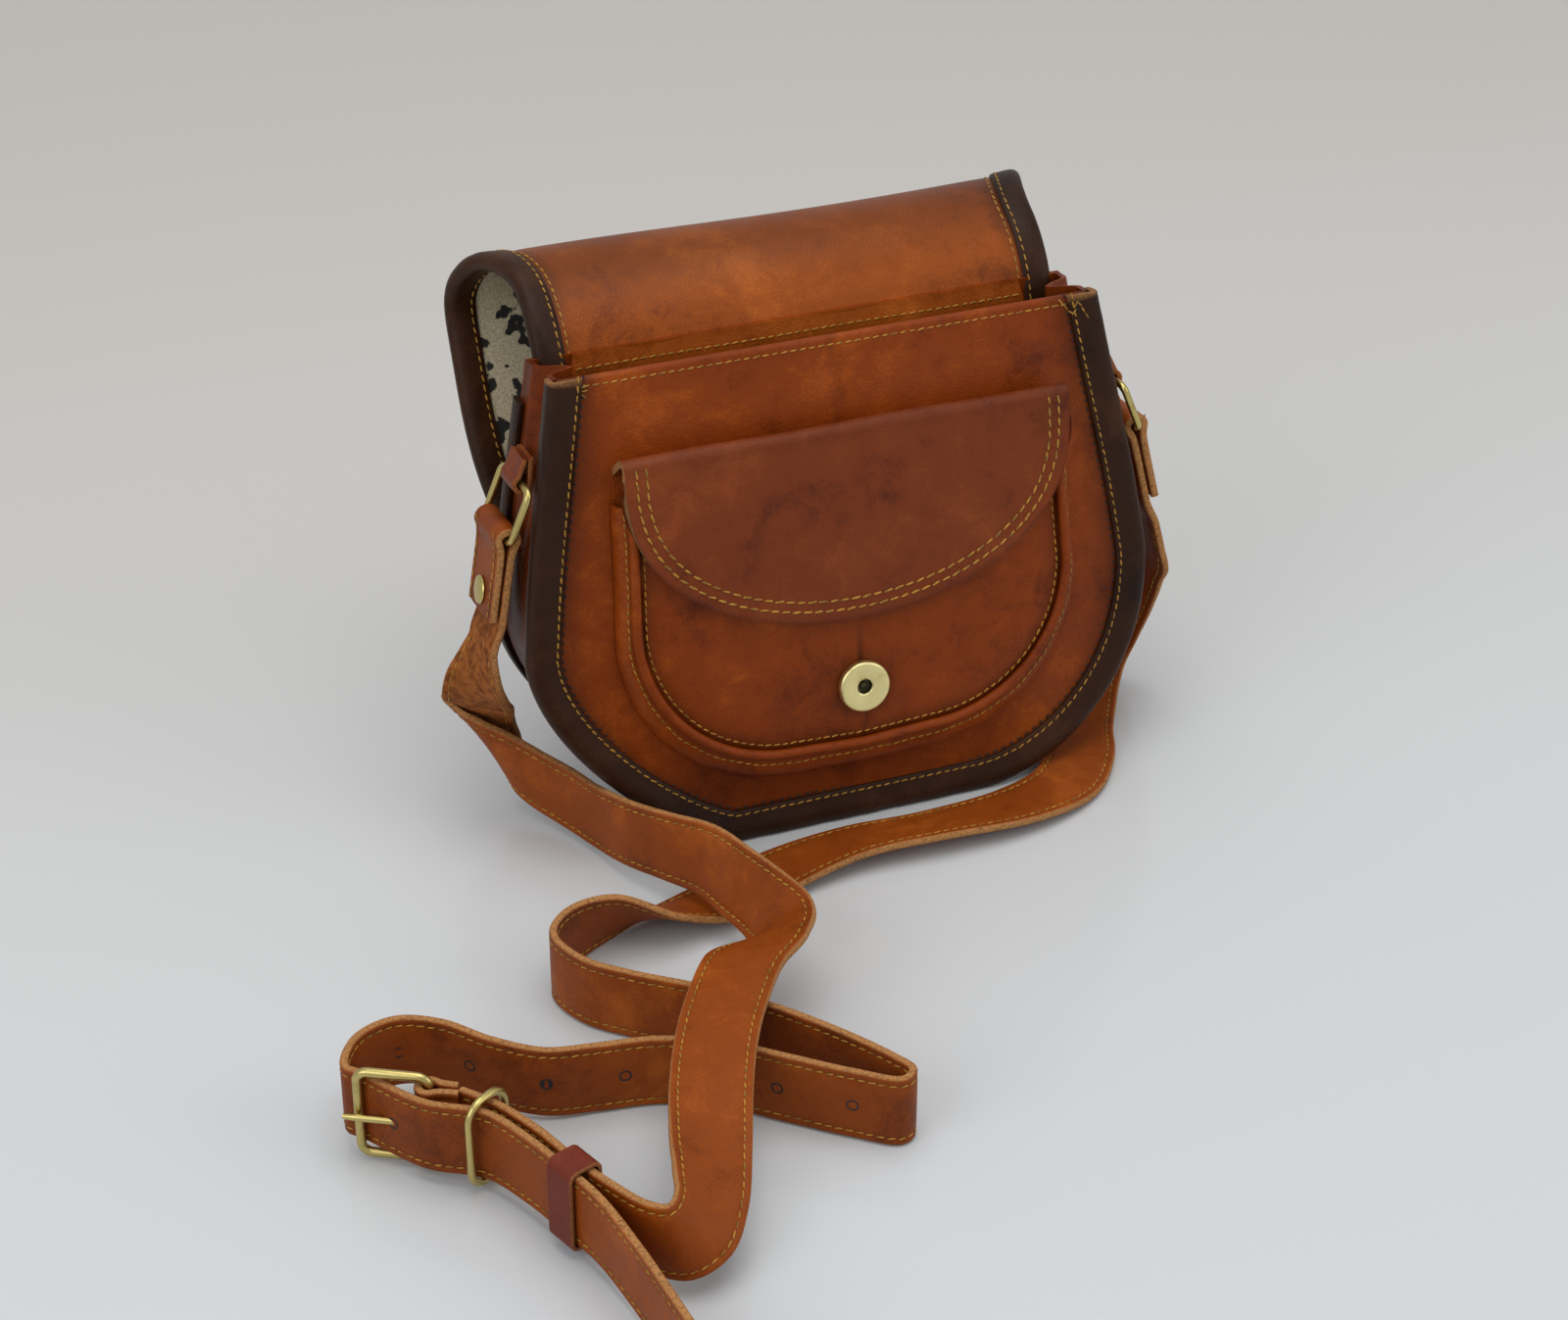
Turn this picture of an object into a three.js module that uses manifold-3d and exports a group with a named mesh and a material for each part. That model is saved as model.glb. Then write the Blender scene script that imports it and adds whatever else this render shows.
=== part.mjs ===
// Small leather flap bag with a buckled shoulder strap, millimetres, +Z up, front towards -Y.
// The origin is the middle of the flat base on the floor.
import * as THREE from "three";
import { mergeVertices } from "three/addons/utils/BufferGeometryUtils.js";
import Module from "manifold-3d";

const wasm = await Module();
wasm.setup();

// clearances
const SEAT = 0.3; // between pieces that touch
const RUN = 0.4; // round a bar that turns

// body
const TOP_WIDTH = 188;
const BODY_WIDTH = 219;
const WIDEST_AT = 78; // height of the widest place, along the panel
const FLAT_WIDTH = 88; // the flattened bottom
const CORNER_BEND_RIGHT = 30; // the lower corners' curves: height of the side's pull
const CORNER_BEND_LEFT = 43; // the left corner is pressed in by the strap
const CORNER_TOE_RIGHT = 30; // and reach of the bottom's pull
const CORNER_TOE_LEFT = 13;
const FRONT_HEIGHT = 172; // along the leaning front panel
const BACK_HEIGHT = 165; // along the back panel, to the flap hinge
const BASE_DEPTH = 48;
const MOUTH_DEPTH = 27;
const FRONT_LEAN = THREE.MathUtils.degToRad(10);
const LEATHER = 2; // panels
const GUSSET_LEATHER = 1.8;
const GUSSET_PINCH = 10; // drawn in at the mouth
const PINCH_FROM = 130; // height where the drawing in begins
const PINCH_TO = 168;
const LINING = 0.8;
const HEM_HEIGHT = 12;
const FACING_HEIGHT = 20;
const LINING_INSET = 9;

// binding
const BINDING_FACE = 9; // width on the panel
const BINDING_LEATHER = 1.9;
const BINDING_REACH = 5.5; // how far it wraps on to the gusset

// pocket
const POCKET_DEPTH = 12;
const POCKET_WIDTH = 154; // at the piping
const POCKET_BASE_WIDTH = 164; // where the side wall meets the front panel
const POCKET_BOTTOM = 33; // height of the piping's lowest place
const POCKET_BASE_DROP = 10; // the wall flares this far below the piping
const POCKET_TOP = 129;
const POCKET_CORNER = 52; // corner radius of the rounded bottom
const POCKET_LEATHER = 1.8;
const PIPING_RADIUS = 1.7;

// pocket flap
const POCKET_FLAP_LEATHER = 2.4;
const POCKET_FLAP_WIDTH = 156;
const POCKET_FLAP_DROP = 64;
const POCKET_FLAP_TOP = 145; // height of its fold, along the panel
const POCKET_FLAP_RISE = 7; // how far its sewn part rises from the panel to the fold

// main flap
const FLAP_THICK = 3;
const STRIP_LENGTH = 26;
const SKIRT_BELOW_SNAP = 22.4494; // from the snap to the end of the skirt
const FLAP_TOP_WIDTH = 180;
const FLAP_WIDTH = 208;
const FLAP_REST = [45, 88, 142, 206].map(THREE.MathUtils.degToRad); // from +Z backwards
const FLAP_BINDING_FACE = 8;
const FLAP_BINDING_LEATHER = 1.2;
const FLAP_BINDING_END = 2.4; // kept clear of each hinge

// magnetic snap
const SNAP_RADIUS = 9;
const SNAP_HEIGHT = 53; // above the panel's foot
const SOCKET_THICK = 2.9;
const STUD_THICK = 2.6;
const WASHER_RADIUS = 8;
const WASHER_THICK = 1;

// rings, tabs and strap
const STRAP_WIDTH = 25;
const STRAP_THICK = 3.2;
const RING_BAR = 1.3; // radius of the wire
const RING_HEIGHT = 19; // between its two level bars
const RING_STAND = 1.4; // the tab's loop stands off, so the ring clears the bindings
const RING_TILT = THREE.MathUtils.degToRad(22);
const HANG_CLEARANCE = 5.15; // between the folded ends and the bag's widest place
const RING_AT = 134; // height of the upper bar
const TAB_WIDTH = 14;
const TAB_LEATHER = 1.6;
const TAB_HEIGHT = 9;
const STRAP_END = 40; // folded end below the ring
const RIVET_RADIUS = 4.8;
const RIVET_POST = 1.7;
const RIVET_CAP = 1.2;
const RIVET_DROP = 21; // below the ring's lower bar

// buckle
const BUCKLE_BAR = 1.5;
const BUCKLE_LENGTH = 22; // heel bar to far bar
const PRONG_BAR = 1.2;
const KEEPER_LEATHER = 1.4;
const KEEPER_LENGTH = 11;
const KEEPER_RING_BAR = 1.3;

const LEATHER_BROWN = 0x7d4020;
const LEATHER_DARK = 0x3c2620;
const LEATHER_RED = 0x763a22;
const STRAP_BROWN = 0x8c4b28;
const CLOTH = 0x4a3a30;
const HIDE = 0xbeb496;
const BRASS = 0xbeaf6e;

const V = (x, y, z) => new THREE.Vector3(x, y, z);
const group = new THREE.Group();

function add(name, geometry, colour, roughness = 0.6, metalness = 0) {
  const material = new THREE.MeshStandardMaterial({ color: colour, roughness, metalness });
  const mesh = new THREE.Mesh(geometry, material);
  mesh.name = name;
  group.add(mesh);
  return mesh;
}

// a closed solid through a row of rings with the same number of corners, its ends capped
function loft(rings) {
  const count = rings[0].length;
  const position = [];
  const index = [];
  for (const ring of rings) for (const p of ring) position.push(p.x, p.y, p.z);
  for (let i = 0; i + 1 < rings.length; i++) {
    for (let j = 0; j < count; j++) {
      const a = i * count + j;
      const b = i * count + ((j + 1) % count);
      index.push(a, b, b + count, a, b + count, a + count);
    }
  }
  const cap = (ring, start, flip) => {
    const normal = V(0, 0, 0);
    for (let j = 0; j < count; j++) normal.add(ring[j].clone().cross(ring[(j + 1) % count]));
    normal.normalize();
    const e1 = ring[1].clone().sub(ring[0]);
    e1.addScaledVector(normal, -e1.dot(normal)).normalize();
    const e2 = normal.clone().cross(e1);
    const flat = ring.map((p) => new THREE.Vector2(p.dot(e1), p.dot(e2)));
    for (const [a, b, c] of THREE.ShapeUtils.triangulateShape(flat, [])) {
      if (flip) index.push(start + a, start + c, start + b);
      else index.push(start + a, start + b, start + c);
    }
  };
  cap(rings[0], 0, true);
  cap(rings[rings.length - 1], (rings.length - 1) * count, false);
  return outward(position, index);
}

// the index is turned round when the volume comes out negative
function outward(position, index) {
  let volume = 0;
  const p = (i) => V(position[3 * i], position[3 * i + 1], position[3 * i + 2]);
  for (let i = 0; i < index.length; i += 3) {
    volume += p(index[i]).dot(p(index[i + 1]).cross(p(index[i + 2])));
  }
  if (volume < 0) index = index.map((_, i) => index[i - (i % 3) + [0, 2, 1][i % 3]]);
  const geometry = new THREE.BufferGeometry();
  geometry.setAttribute("position", new THREE.Float32BufferAttribute(position, 3));
  geometry.setIndex(index);
  geometry.computeVertexNormals();
  return geometry;
}

function toSolid(geometry) {
  const plain = geometry.clone();
  plain.deleteAttribute("normal");
  plain.deleteAttribute("uv");
  const merged = mergeVertices(plain, 1e-4);
  return new wasm.Manifold(
    new wasm.Mesh({
      numProp: 3,
      vertProperties: Float32Array.from(merged.attributes.position.array),
      triVerts: Uint32Array.from(merged.index.array),
    }),
  );
}

function fromSolid(solid) {
  const mesh = solid.getMesh();
  const geometry = new THREE.BufferGeometry();
  geometry.setAttribute("position", new THREE.Float32BufferAttribute(mesh.vertProperties, 3));
  geometry.setIndex(Array.from(mesh.triVerts));
  geometry.computeVertexNormals();
  return geometry;
}

const cut = (geometry, ...tools) =>
  fromSolid(tools.reduce((solid, tool) => solid.subtract(toSolid(tool)), toSolid(geometry)));

const placed = (geometry, matrix) => geometry.clone().applyMatrix4(matrix);
const frame = (origin, x, y, z) =>
  new THREE.Matrix4().makeBasis(x, y, z).setPosition(origin);

// body frames: u across, v up the panel, off out of the panel's outer face
const FRONT_FOOT = V(0, -BASE_DEPTH / 2, 0);
const FRONT_UP = V(0, Math.sin(FRONT_LEAN), Math.cos(FRONT_LEAN));
const FRONT_OUT = V(0, -Math.cos(FRONT_LEAN), Math.sin(FRONT_LEAN));
const backTopY = -BASE_DEPTH / 2 + BACK_HEIGHT * Math.tan(FRONT_LEAN) + MOUTH_DEPTH + LEATHER;
const BACK_LEAN = Math.asin((backTopY - BASE_DEPTH / 2) / BACK_HEIGHT);
const BACK_FOOT = V(0, BASE_DEPTH / 2, 0);
const BACK_UP = V(0, Math.sin(BACK_LEAN), Math.cos(BACK_LEAN));
const BACK_OUT = V(0, Math.cos(BACK_LEAN), -Math.sin(BACK_LEAN));
const onFront = (u, v, off = 0) =>
  FRONT_FOOT.clone().addScaledVector(FRONT_UP, v).addScaledVector(FRONT_OUT, off).add(V(u, 0, 0));
const onBack = (u, v, off = 0) =>
  BACK_FOOT.clone().addScaledVector(BACK_UP, v).addScaledVector(BACK_OUT, off).add(V(u, 0, 0));

// the D outline from the left top corner round the bottom to the right top corner
const FOOT = BINDING_LEATHER + SEAT; // the panels stand on their bindings
function halfAt(v) {
  const k = Math.max(0, (v - WIDEST_AT) / (FRONT_HEIGHT - WIDEST_AT));
  return BODY_WIDTH / 2 - ((BODY_WIDTH - TOP_WIDTH) / 2) * k * (0.62 + 0.76 * k - 0.38 * k * k);
}
function outline(height) {
  const side = (sign, bend, toe) => {
    const points = [];
    const sides = 7;
    for (let i = 0; i < sides; i++) {
      const v = height - ((height - WIDEST_AT) * i) / sides;
      points.push(new THREE.Vector2(halfAt(v), v));
    }
    const corner = new THREE.CubicBezierCurve(
      new THREE.Vector2(BODY_WIDTH / 2, WIDEST_AT),
      new THREE.Vector2(BODY_WIDTH / 2, bend),
      new THREE.Vector2(FLAT_WIDTH / 2 + toe, FOOT),
      new THREE.Vector2(FLAT_WIDTH / 2, FOOT),
    );
    points.push(...corner.getSpacedPoints(16));
    points.push(new THREE.Vector2(FLAT_WIDTH / 4, FOOT));
    return points.map((p) => new THREE.Vector2(sign * p.x, p.y));
  };
  const left = side(-1, CORNER_BEND_LEFT, CORNER_TOE_LEFT);
  const right = side(1, CORNER_BEND_RIGHT, CORNER_TOE_RIGHT);
  return [...left, new THREE.Vector2(0, FOOT), ...right.reverse()];
}

// the outline's outward normals in the panel's plane
function normals(points) {
  return points.map((p, i) => {
    const a = points[Math.max(0, i - 1)];
    const b = points[Math.min(points.length - 1, i + 1)];
    const n = new THREE.Vector2(b.y - a.y, -(b.x - a.x)).normalize();
    if (i === 0) n.set(-1, 0);
    if (i === points.length - 1) n.set(1, 0);
    return n.dot(new THREE.Vector2(p.x, p.y - 90)) < 0 ? n.negate() : n;
  });
}

// a flat plate of the given outline, between two distances off a panel frame
function plate(points, place, low, high) {
  return loft([low, high].map((off) => points.map((p) => place(p.x, p.y, off))));
}

const frontLine = outline(FRONT_HEIGHT);
const backLine = outline(BACK_HEIGHT);
add("front_panel", plate(frontLine, onFront, -LEATHER, 0), LEATHER_BROWN);

// the back panel ends in a round edge that the flap turns on
{
  const face = (off, extra) => {
    const pts = backLine.map((p) => onBack(p.x, p.y, off));
    const first = pts[0];
    const last = pts[pts.length - 1];
    first.addScaledVector(BACK_UP, extra);
    last.addScaledVector(BACK_UP, extra);
    return pts;
  };
  const rings = [
    face(-LEATHER, 0),
    face(-LEATHER * 0.8, LEATHER * 0.4),
    face(-LEATHER * 0.2, LEATHER * 0.4),
    face(0, 0),
  ];
  add("back_panel", loft(rings), LEATHER_BROWN);
}

// gusset: across its depth it leaves each panel square, sags to the floor and is drawn in at the mouth
const sagAt = (u) => Math.max(0, 1 - Math.max(0, Math.abs(u) - FLAT_WIDTH / 2) / 14);
const pinchAt = (v) => GUSSET_PINCH * THREE.MathUtils.smoothstep(v, PINCH_FROM, PINCH_TO);
function gussetAcross(i, inset) {
  const pf = frontLine[i];
  const scale = BACK_HEIGHT / FRONT_HEIGHT;
  const n = gussetNormals[i];
  const backV = i === 0 || i === frontLine.length - 1 ? BACK_HEIGHT : backLine[i].y;
  const a = onFront(pf.x - n.x * inset, pf.y - n.y * inset, -LEATHER - SEAT);
  const b = onBack(backLine[i].x - n.x * inset, backV - n.y * inset, -LEATHER - SEAT);
  const depth = a.distanceTo(b);
  const lip = BINDING_REACH / depth;
  const out = V(n.x, 0, n.y);
  return [0, lip, lip * 2, 0.5, 1 - lip * 2, 1 - lip, 1].map((f, k) => {
    const p = a.clone().lerp(b, f);
    const belly = [0, 0, 1, 1, 1, 0, 0][k];
    const drawn = [0, 0, 0.45, 1, 0.45, 0, 0][k];
    p.addScaledVector(out, -pinchAt(pf.y) * drawn * scale);
    if (belly) p.z -= (FOOT - (1 - Math.cos(FRONT_LEAN)) * FOOT) * sagAt(pf.x);
    if (belly && sagAt(pf.x) === 1) p.z = inset;
    return p;
  });
}
const gussetNormals = normals(frontLine);
add(
  "gusset",
  loft(
    frontLine.map((_, i) => [
      ...gussetAcross(i, 0),
      ...gussetAcross(i, GUSSET_LEATHER).reverse(),
    ]),
  ),
  LEATHER_BROWN,
);

// bindings: over the panel's face, round its edge and on to the gusset
function binding(points, place) {
  const ns = normals(points);
  const t = BINDING_LEATHER;
  const section = [
    [-BINDING_FACE, SEAT],
    [-BINDING_FACE, SEAT + t * 0.6],
    [-BINDING_FACE * 0.4, SEAT + t],
    [SEAT + t * 0.3, SEAT + t],
    [SEAT + t, SEAT],
    [SEAT + t, -BINDING_REACH + SEAT],
    [SEAT, -BINDING_REACH + SEAT],
    [SEAT, SEAT],
  ];
  return loft(
    points.map((p, i) =>
      section.map(([o, n]) => {
        const q = place(p.x + ns[i].x * o, p.y + ns[i].y * o, n);
        q.z = Math.max(q.z, 0);
        return q;
      }),
    ),
  );
}
add("front_binding", binding(frontLine, onFront), LEATHER_DARK, 0.5);
add("back_binding", binding(backLine.slice(1, -1), onBack), LEATHER_DARK, 0.5);

// strips of leather inside the mouth, and the cloth lining below them
function band(top, height, inset) {
  const low = top - height;
  return [
    new THREE.Vector2(-halfAt(top) + inset, top),
    new THREE.Vector2(-halfAt(low) + inset, low),
    new THREE.Vector2(halfAt(low) - inset, low),
    new THREE.Vector2(halfAt(top) - inset, top),
  ];
}
const hemIn = -LEATHER - SEAT;
const HEM_INSET = BINDING_REACH + GUSSET_PINCH;
add("front_hem", plate(band(FRONT_HEIGHT, HEM_HEIGHT, HEM_INSET), onFront, hemIn - 1.2, hemIn), LEATHER_BROWN);
add("back_facing", plate(band(BACK_HEIGHT, FACING_HEIGHT, HEM_INSET), onBack, hemIn - 1.2, hemIn), LEATHER_BROWN);
function liningLine(top) {
  const inner = outline(top - SEAT);
  const ns = normals(inner);
  return inner.map((p, i) => {
    const q = new THREE.Vector2(p.x - ns[i].x * LINING_INSET, Math.min(p.y - ns[i].y * LINING_INSET, top - SEAT));
    q.x -= Math.sign(q.x) * pinchAt(p.y);
    return q;
  });
}
const frontLining = liningLine(FRONT_HEIGHT - HEM_HEIGHT);
const backLining = liningLine(BACK_HEIGHT - FACING_HEIGHT);
add("front_lining", plate(frontLining, onFront, hemIn - LINING, hemIn), CLOTH, 0.9);
add("back_lining", plate(backLining, onBack, hemIn - LINING, hemIn), CLOTH, 0.9);

// pocket outline: straight sides with a rounded bottom, open at the top
function pocketLine(width, bottom, corner) {
  const w = width / 2;
  const points = [];
  const arc = 10;
  points.push(new THREE.Vector2(w * 0.97, POCKET_TOP));
  for (let i = 0; i <= arc; i++) {
    const a = (i / arc) * (Math.PI / 2);
    points.push(new THREE.Vector2(w - corner * (1 - Math.cos(a)), bottom + corner * (1 - Math.sin(a))));
  }
  points.push(new THREE.Vector2(0, bottom - 1.2));
  const left = points.slice(0, -1).map((p) => new THREE.Vector2(-p.x, p.y));
  return [...left, ...points.reverse()];
}
const pocketFlare = (POCKET_BASE_WIDTH - POCKET_WIDTH) / 2;
const seamLine = pocketLine(POCKET_WIDTH, POCKET_BOTTOM, POCKET_CORNER);
const footLine = pocketLine(
  POCKET_BASE_WIDTH,
  POCKET_BOTTOM - POCKET_BASE_DROP,
  POCKET_CORNER + pocketFlare,
);
const seamNormals = normals(seamLine);
const beadOff = POCKET_DEPTH - PIPING_RADIUS * 0.6;
const pocketFrontInset = PIPING_RADIUS + SEAT;
const pocketFrontLine = seamLine.map(
  (p, i) =>
    new THREE.Vector2(
      p.x - seamNormals[i].x * pocketFrontInset,
      Math.min(POCKET_TOP, p.y - seamNormals[i].y * pocketFrontInset),
    ),
);
add(
  "pocket_front",
  plate(pocketFrontLine, onFront, POCKET_DEPTH - POCKET_LEATHER, POCKET_DEPTH),
  LEATHER_BROWN,
);
add(
  "pocket_piping",
  loft(
    seamLine.map((p, i) =>
      Array.from({ length: 8 }, (_, k) => {
        const a = (k / 8) * 2 * Math.PI;
        const o = PIPING_RADIUS * Math.cos(a);
        const n = PIPING_RADIUS * Math.sin(a);
        return onFront(p.x + seamNormals[i].x * o, p.y + seamNormals[i].y * o, beadOff + n);
      }),
    ),
  ),
  LEATHER_BROWN,
);
{
  const high = beadOff - PIPING_RADIUS - SEAT;
  const rings = seamLine.map((p, i) => {
    const q = footLine[i];
    const n = seamNormals[i];
    const t = POCKET_LEATHER;
    const mid = p.clone().lerp(q, 0.35);
    return [
      onFront(q.x, q.y, SEAT),
      onFront(mid.x + n.x * 1.5, mid.y + n.y * 1.5, high * 0.6),
      onFront(p.x, p.y, high),
      onFront(p.x - n.x * t, p.y - n.y * t, high),
      onFront(mid.x - n.x * (t - 1.5), mid.y - n.y * (t - 1.5), high * 0.6),
      onFront(q.x - n.x * t, q.y - n.y * t, SEAT),
    ];
  });
  add("pocket_gusset", loft(rings), LEATHER_BROWN);
}

// a turning edge: one piece ends in a half round about the hinge, the next begins flat beyond it
function halfRound(radius, count = 4) {
  return Array.from({ length: count + 1 }, (_, i) => {
    const a = -Math.PI / 2 + (i / count) * Math.PI;
    return [radius * Math.cos(a), radius * Math.sin(a)];
  });
}

// pocket flap: the sewn part rises out to the fold, the part that lifts hangs from the fold
const pocketFoldOff = beadOff + PIPING_RADIUS + SEAT + POCKET_FLAP_LEATHER / 2;
const POCKET_FOLD = onFront(0, POCKET_FLAP_TOP, pocketFoldOff);
{
  const r = POCKET_FLAP_LEATHER / 2;
  const from = onFront(0, POCKET_FLAP_TOP - POCKET_FLAP_RISE, SEAT + r);
  const along = POCKET_FOLD.clone().sub(from);
  const length = along.length();
  along.normalize();
  const up = V(1, 0, 0).cross(along).negate();
  const section = [[-length, -r], ...halfRound(r), [-length, r]];
  const w = POCKET_FLAP_WIDTH / 2;
  const rings = [-w, w].map((x) =>
    section.map(([s, n]) => POCKET_FOLD.clone().addScaledVector(along, s).addScaledVector(up, n).add(V(x, 0, 0))),
  );
  add("pocket_flap_top", loft(rings), LEATHER_RED);
  const start = 2 * r; // clear of the sewn part, which rises to the fold
  const shape = [];
  const steps = 20;
  const straight = 4;
  for (let i = 0; i <= steps; i++) {
    const a = (i / steps) * Math.PI;
    const x = -w * Math.cos(a);
    const s = straight + (POCKET_FLAP_DROP - straight) * Math.pow(Math.sin(a), 0.8);
    shape.push([x, s]);
  }
  const outlinePts = [[-w, start], ...shape, [w, start]];
  const flapRings = [-r, r].map((n) =>
    outlinePts.map(([x, s]) => onFront(x, POCKET_FLAP_TOP - s, pocketFoldOff + n)),
  );
  add("pocket_flap", loft(flapRings), LEATHER_RED);
}

// magnetic snap socket on the pocket front, with its washer inside the pocket
function disc(radius, low, high, hole = 0, hollow = 0) {
  const profile = hole
    ? [
        [hole, low],
        [radius, low],
        [radius, high - 0.6],
        [radius - 0.6, high],
        [radius * 0.55, high],
        [hole, high - hollow],
        [hole, low],
      ]
    : [
        [0, low],
        [radius, low],
        [radius, high - 0.5],
        [radius - 0.5, high],
        [0, high],
      ];
  const lathe = new THREE.LatheGeometry(
    profile.map(([x, y]) => new THREE.Vector2(x, y)),
    24,
  );
  return lathe;
}
// a lathe's axis is Y; this lays it on the direction given
function onAxis(geometry, origin, axis) {
  const q = new THREE.Quaternion().setFromUnitVectors(V(0, 1, 0), axis.clone().normalize());
  return placed(geometry, new THREE.Matrix4().compose(origin, q, V(1, 1, 1)));
}
const solid = (geometry) => fromSolid(toSolid(geometry));
add(
  "snap_socket",
  solid(onAxis(disc(SNAP_RADIUS, 0, SOCKET_THICK, 2.2, 0.5), onFront(0, SNAP_HEIGHT, POCKET_DEPTH + SEAT), FRONT_OUT)),
  BRASS,
  0.35,
  1,
);
add(
  "snap_socket_washer",
  solid(
    onAxis(
      disc(WASHER_RADIUS, 0, WASHER_THICK),
      onFront(0, SNAP_HEIGHT, POCKET_DEPTH - POCKET_LEATHER - SEAT),
      FRONT_OUT.clone().negate(),
    ),
  ),
  BRASS,
  0.4,
  1,
);

// main flap: the strips and the skirt lie along a chain of hinges, s down the flap, n towards its leather side
const dirAt = (a) => V(0, Math.sin(a), Math.cos(a));
const sideAt = (a) => V(0, -Math.cos(a), Math.sin(a));
const FLAP_HINGES = [onBack(0, BACK_HEIGHT - LEATHER * 0.6, -LEATHER / 2)];
FLAP_HINGES[0].addScaledVector(BACK_UP, LEATHER * 0.6);
for (let i = 0; i < 3; i++) {
  FLAP_HINGES.push(FLAP_HINGES[i].clone().addScaledVector(dirAt(FLAP_REST[i]), STRIP_LENGTH));
}
// closing turns each fold by its share, and brings the stud to the socket
const FLAP_TURNS = [70, 105, 115.5, 86.84].map(THREE.MathUtils.degToRad);
function closedSkirt() {
  const m = new THREE.Matrix4();
  for (let i = 0; i < 4; i++) {
    const h = FLAP_HINGES[i];
    m.multiply(new THREE.Matrix4().makeTranslation(h.x, h.y, h.z));
    m.multiply(new THREE.Matrix4().makeRotationX(FLAP_TURNS[i]));
    m.multiply(new THREE.Matrix4().makeTranslation(-h.x, -h.y, -h.z));
  }
  return m;
}
const SKIRT_CLOSED = closedSkirt();
const socketFace = onFront(0, SNAP_HEIGHT, POCKET_DEPTH + SEAT + SOCKET_THICK);
const socketOnSkirt = socketFace.clone().applyMatrix4(SKIRT_CLOSED.clone().invert());
const snapS = socketOnSkirt.clone().sub(FLAP_HINGES[3]).dot(dirAt(FLAP_REST[3]));
const SKIRT_LENGTH = snapS + SKIRT_BELOW_SNAP;
const stripTotal = 3 * STRIP_LENGTH;
const flapHalf = (s) => {
  const k = THREE.MathUtils.smoothstep(s / stripTotal, 0.3, 1);
  return FLAP_TOP_WIDTH / 2 + ((FLAP_WIDTH - FLAP_TOP_WIDTH) / 2) * k;
};
const flapStart = FLAP_THICK / 2 + SEAT;
for (let i = 0; i < 3; i++) {
  const along = dirAt(FLAP_REST[i]);
  const side = sideAt(FLAP_REST[i]);
  const at = (x, s, n) =>
    FLAP_HINGES[i].clone().addScaledVector(along, s).addScaledVector(side, n).add(V(x, 0, 0));
  const r = FLAP_THICK / 2;
  const section = [
    [flapStart, -r],
    ...halfRound(r).map(([s, n]) => [STRIP_LENGTH + s, n]),
    [flapStart, r],
  ];
  const half = flapHalf((i + 0.5) * STRIP_LENGTH);
  const rings = [-half, half].map((x) => section.map(([s, n]) => at(x, s, n)));
  add(`flap_strip_${i + 1}`, loft(rings), LEATHER_BROWN);
  const near = FLAP_BINDING_END + (i === 0 ? 0.4 : 0);
  const far = STRIP_LENGTH - FLAP_BINDING_END;
  for (const [name, sign] of [
    ["left", -1],
    ["right", 1],
  ]) {
    const t = FLAP_BINDING_LEATHER;
    const inner = half - FLAP_BINDING_FACE;
    const c = [
      [inner, r + SEAT],
      [inner, r + SEAT + t],
      [half + SEAT, r + SEAT + t],
      [half + SEAT + t, r + SEAT],
      [half + SEAT + t, -r - SEAT],
      [half + SEAT, -r - SEAT - t],
      [inner, -r - SEAT - t],
      [inner, -r - SEAT],
      [half + SEAT, -r - SEAT],
      [half + SEAT, r + SEAT],
    ];
    const ends = [near, far].map((s) => c.map(([x, n]) => at(sign * x, s, n)));
    add(`flap_binding_${name}_${i + 1}`, loft(ends), LEATHER_DARK, 0.5);
  }
}
// the skirt's outline from its left start round the end to its right start
const skirtAlong = dirAt(FLAP_REST[3]);
const skirtSide = sideAt(FLAP_REST[3]);
const onSkirt = (x, s, n) =>
  FLAP_HINGES[3].clone().addScaledVector(skirtAlong, s).addScaledVector(skirtSide, n).add(V(x, 0, 0));
const skirtLine = [];
{
  const w = flapHalf(stripTotal);
  const straight = SKIRT_LENGTH * 0.22;
  const deep = SKIRT_LENGTH - straight;
  skirtLine.push(new THREE.Vector2(-w, flapStart + 1));
  for (let i = 0; i <= 24; i++) {
    const a = (i / 24) * Math.PI;
    const c = Math.cos(a);
    const x = -w * Math.sign(c) * Math.pow(Math.abs(c), 0.72);
    skirtLine.push(new THREE.Vector2(x, straight + deep * Math.pow(Math.sin(a), 0.8)));
  }
  skirtLine.push(new THREE.Vector2(w, flapStart + 1));
}
const hideThick = FLAP_THICK / 2 - SEAT / 2;
const skirtEdge = [
  new THREE.Vector2(-flapHalf(stripTotal), flapStart),
  ...skirtLine.slice(1, -1),
  new THREE.Vector2(flapHalf(stripTotal), flapStart),
];
const skirtSlab = (low, high) => loft([low, high].map((n) => skirtEdge.map((p) => onSkirt(p.x, p.y, n))));
add("flap_skirt_lining", skirtSlab(SEAT / 2, SEAT / 2 + hideThick), LEATHER_BROWN);
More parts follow.
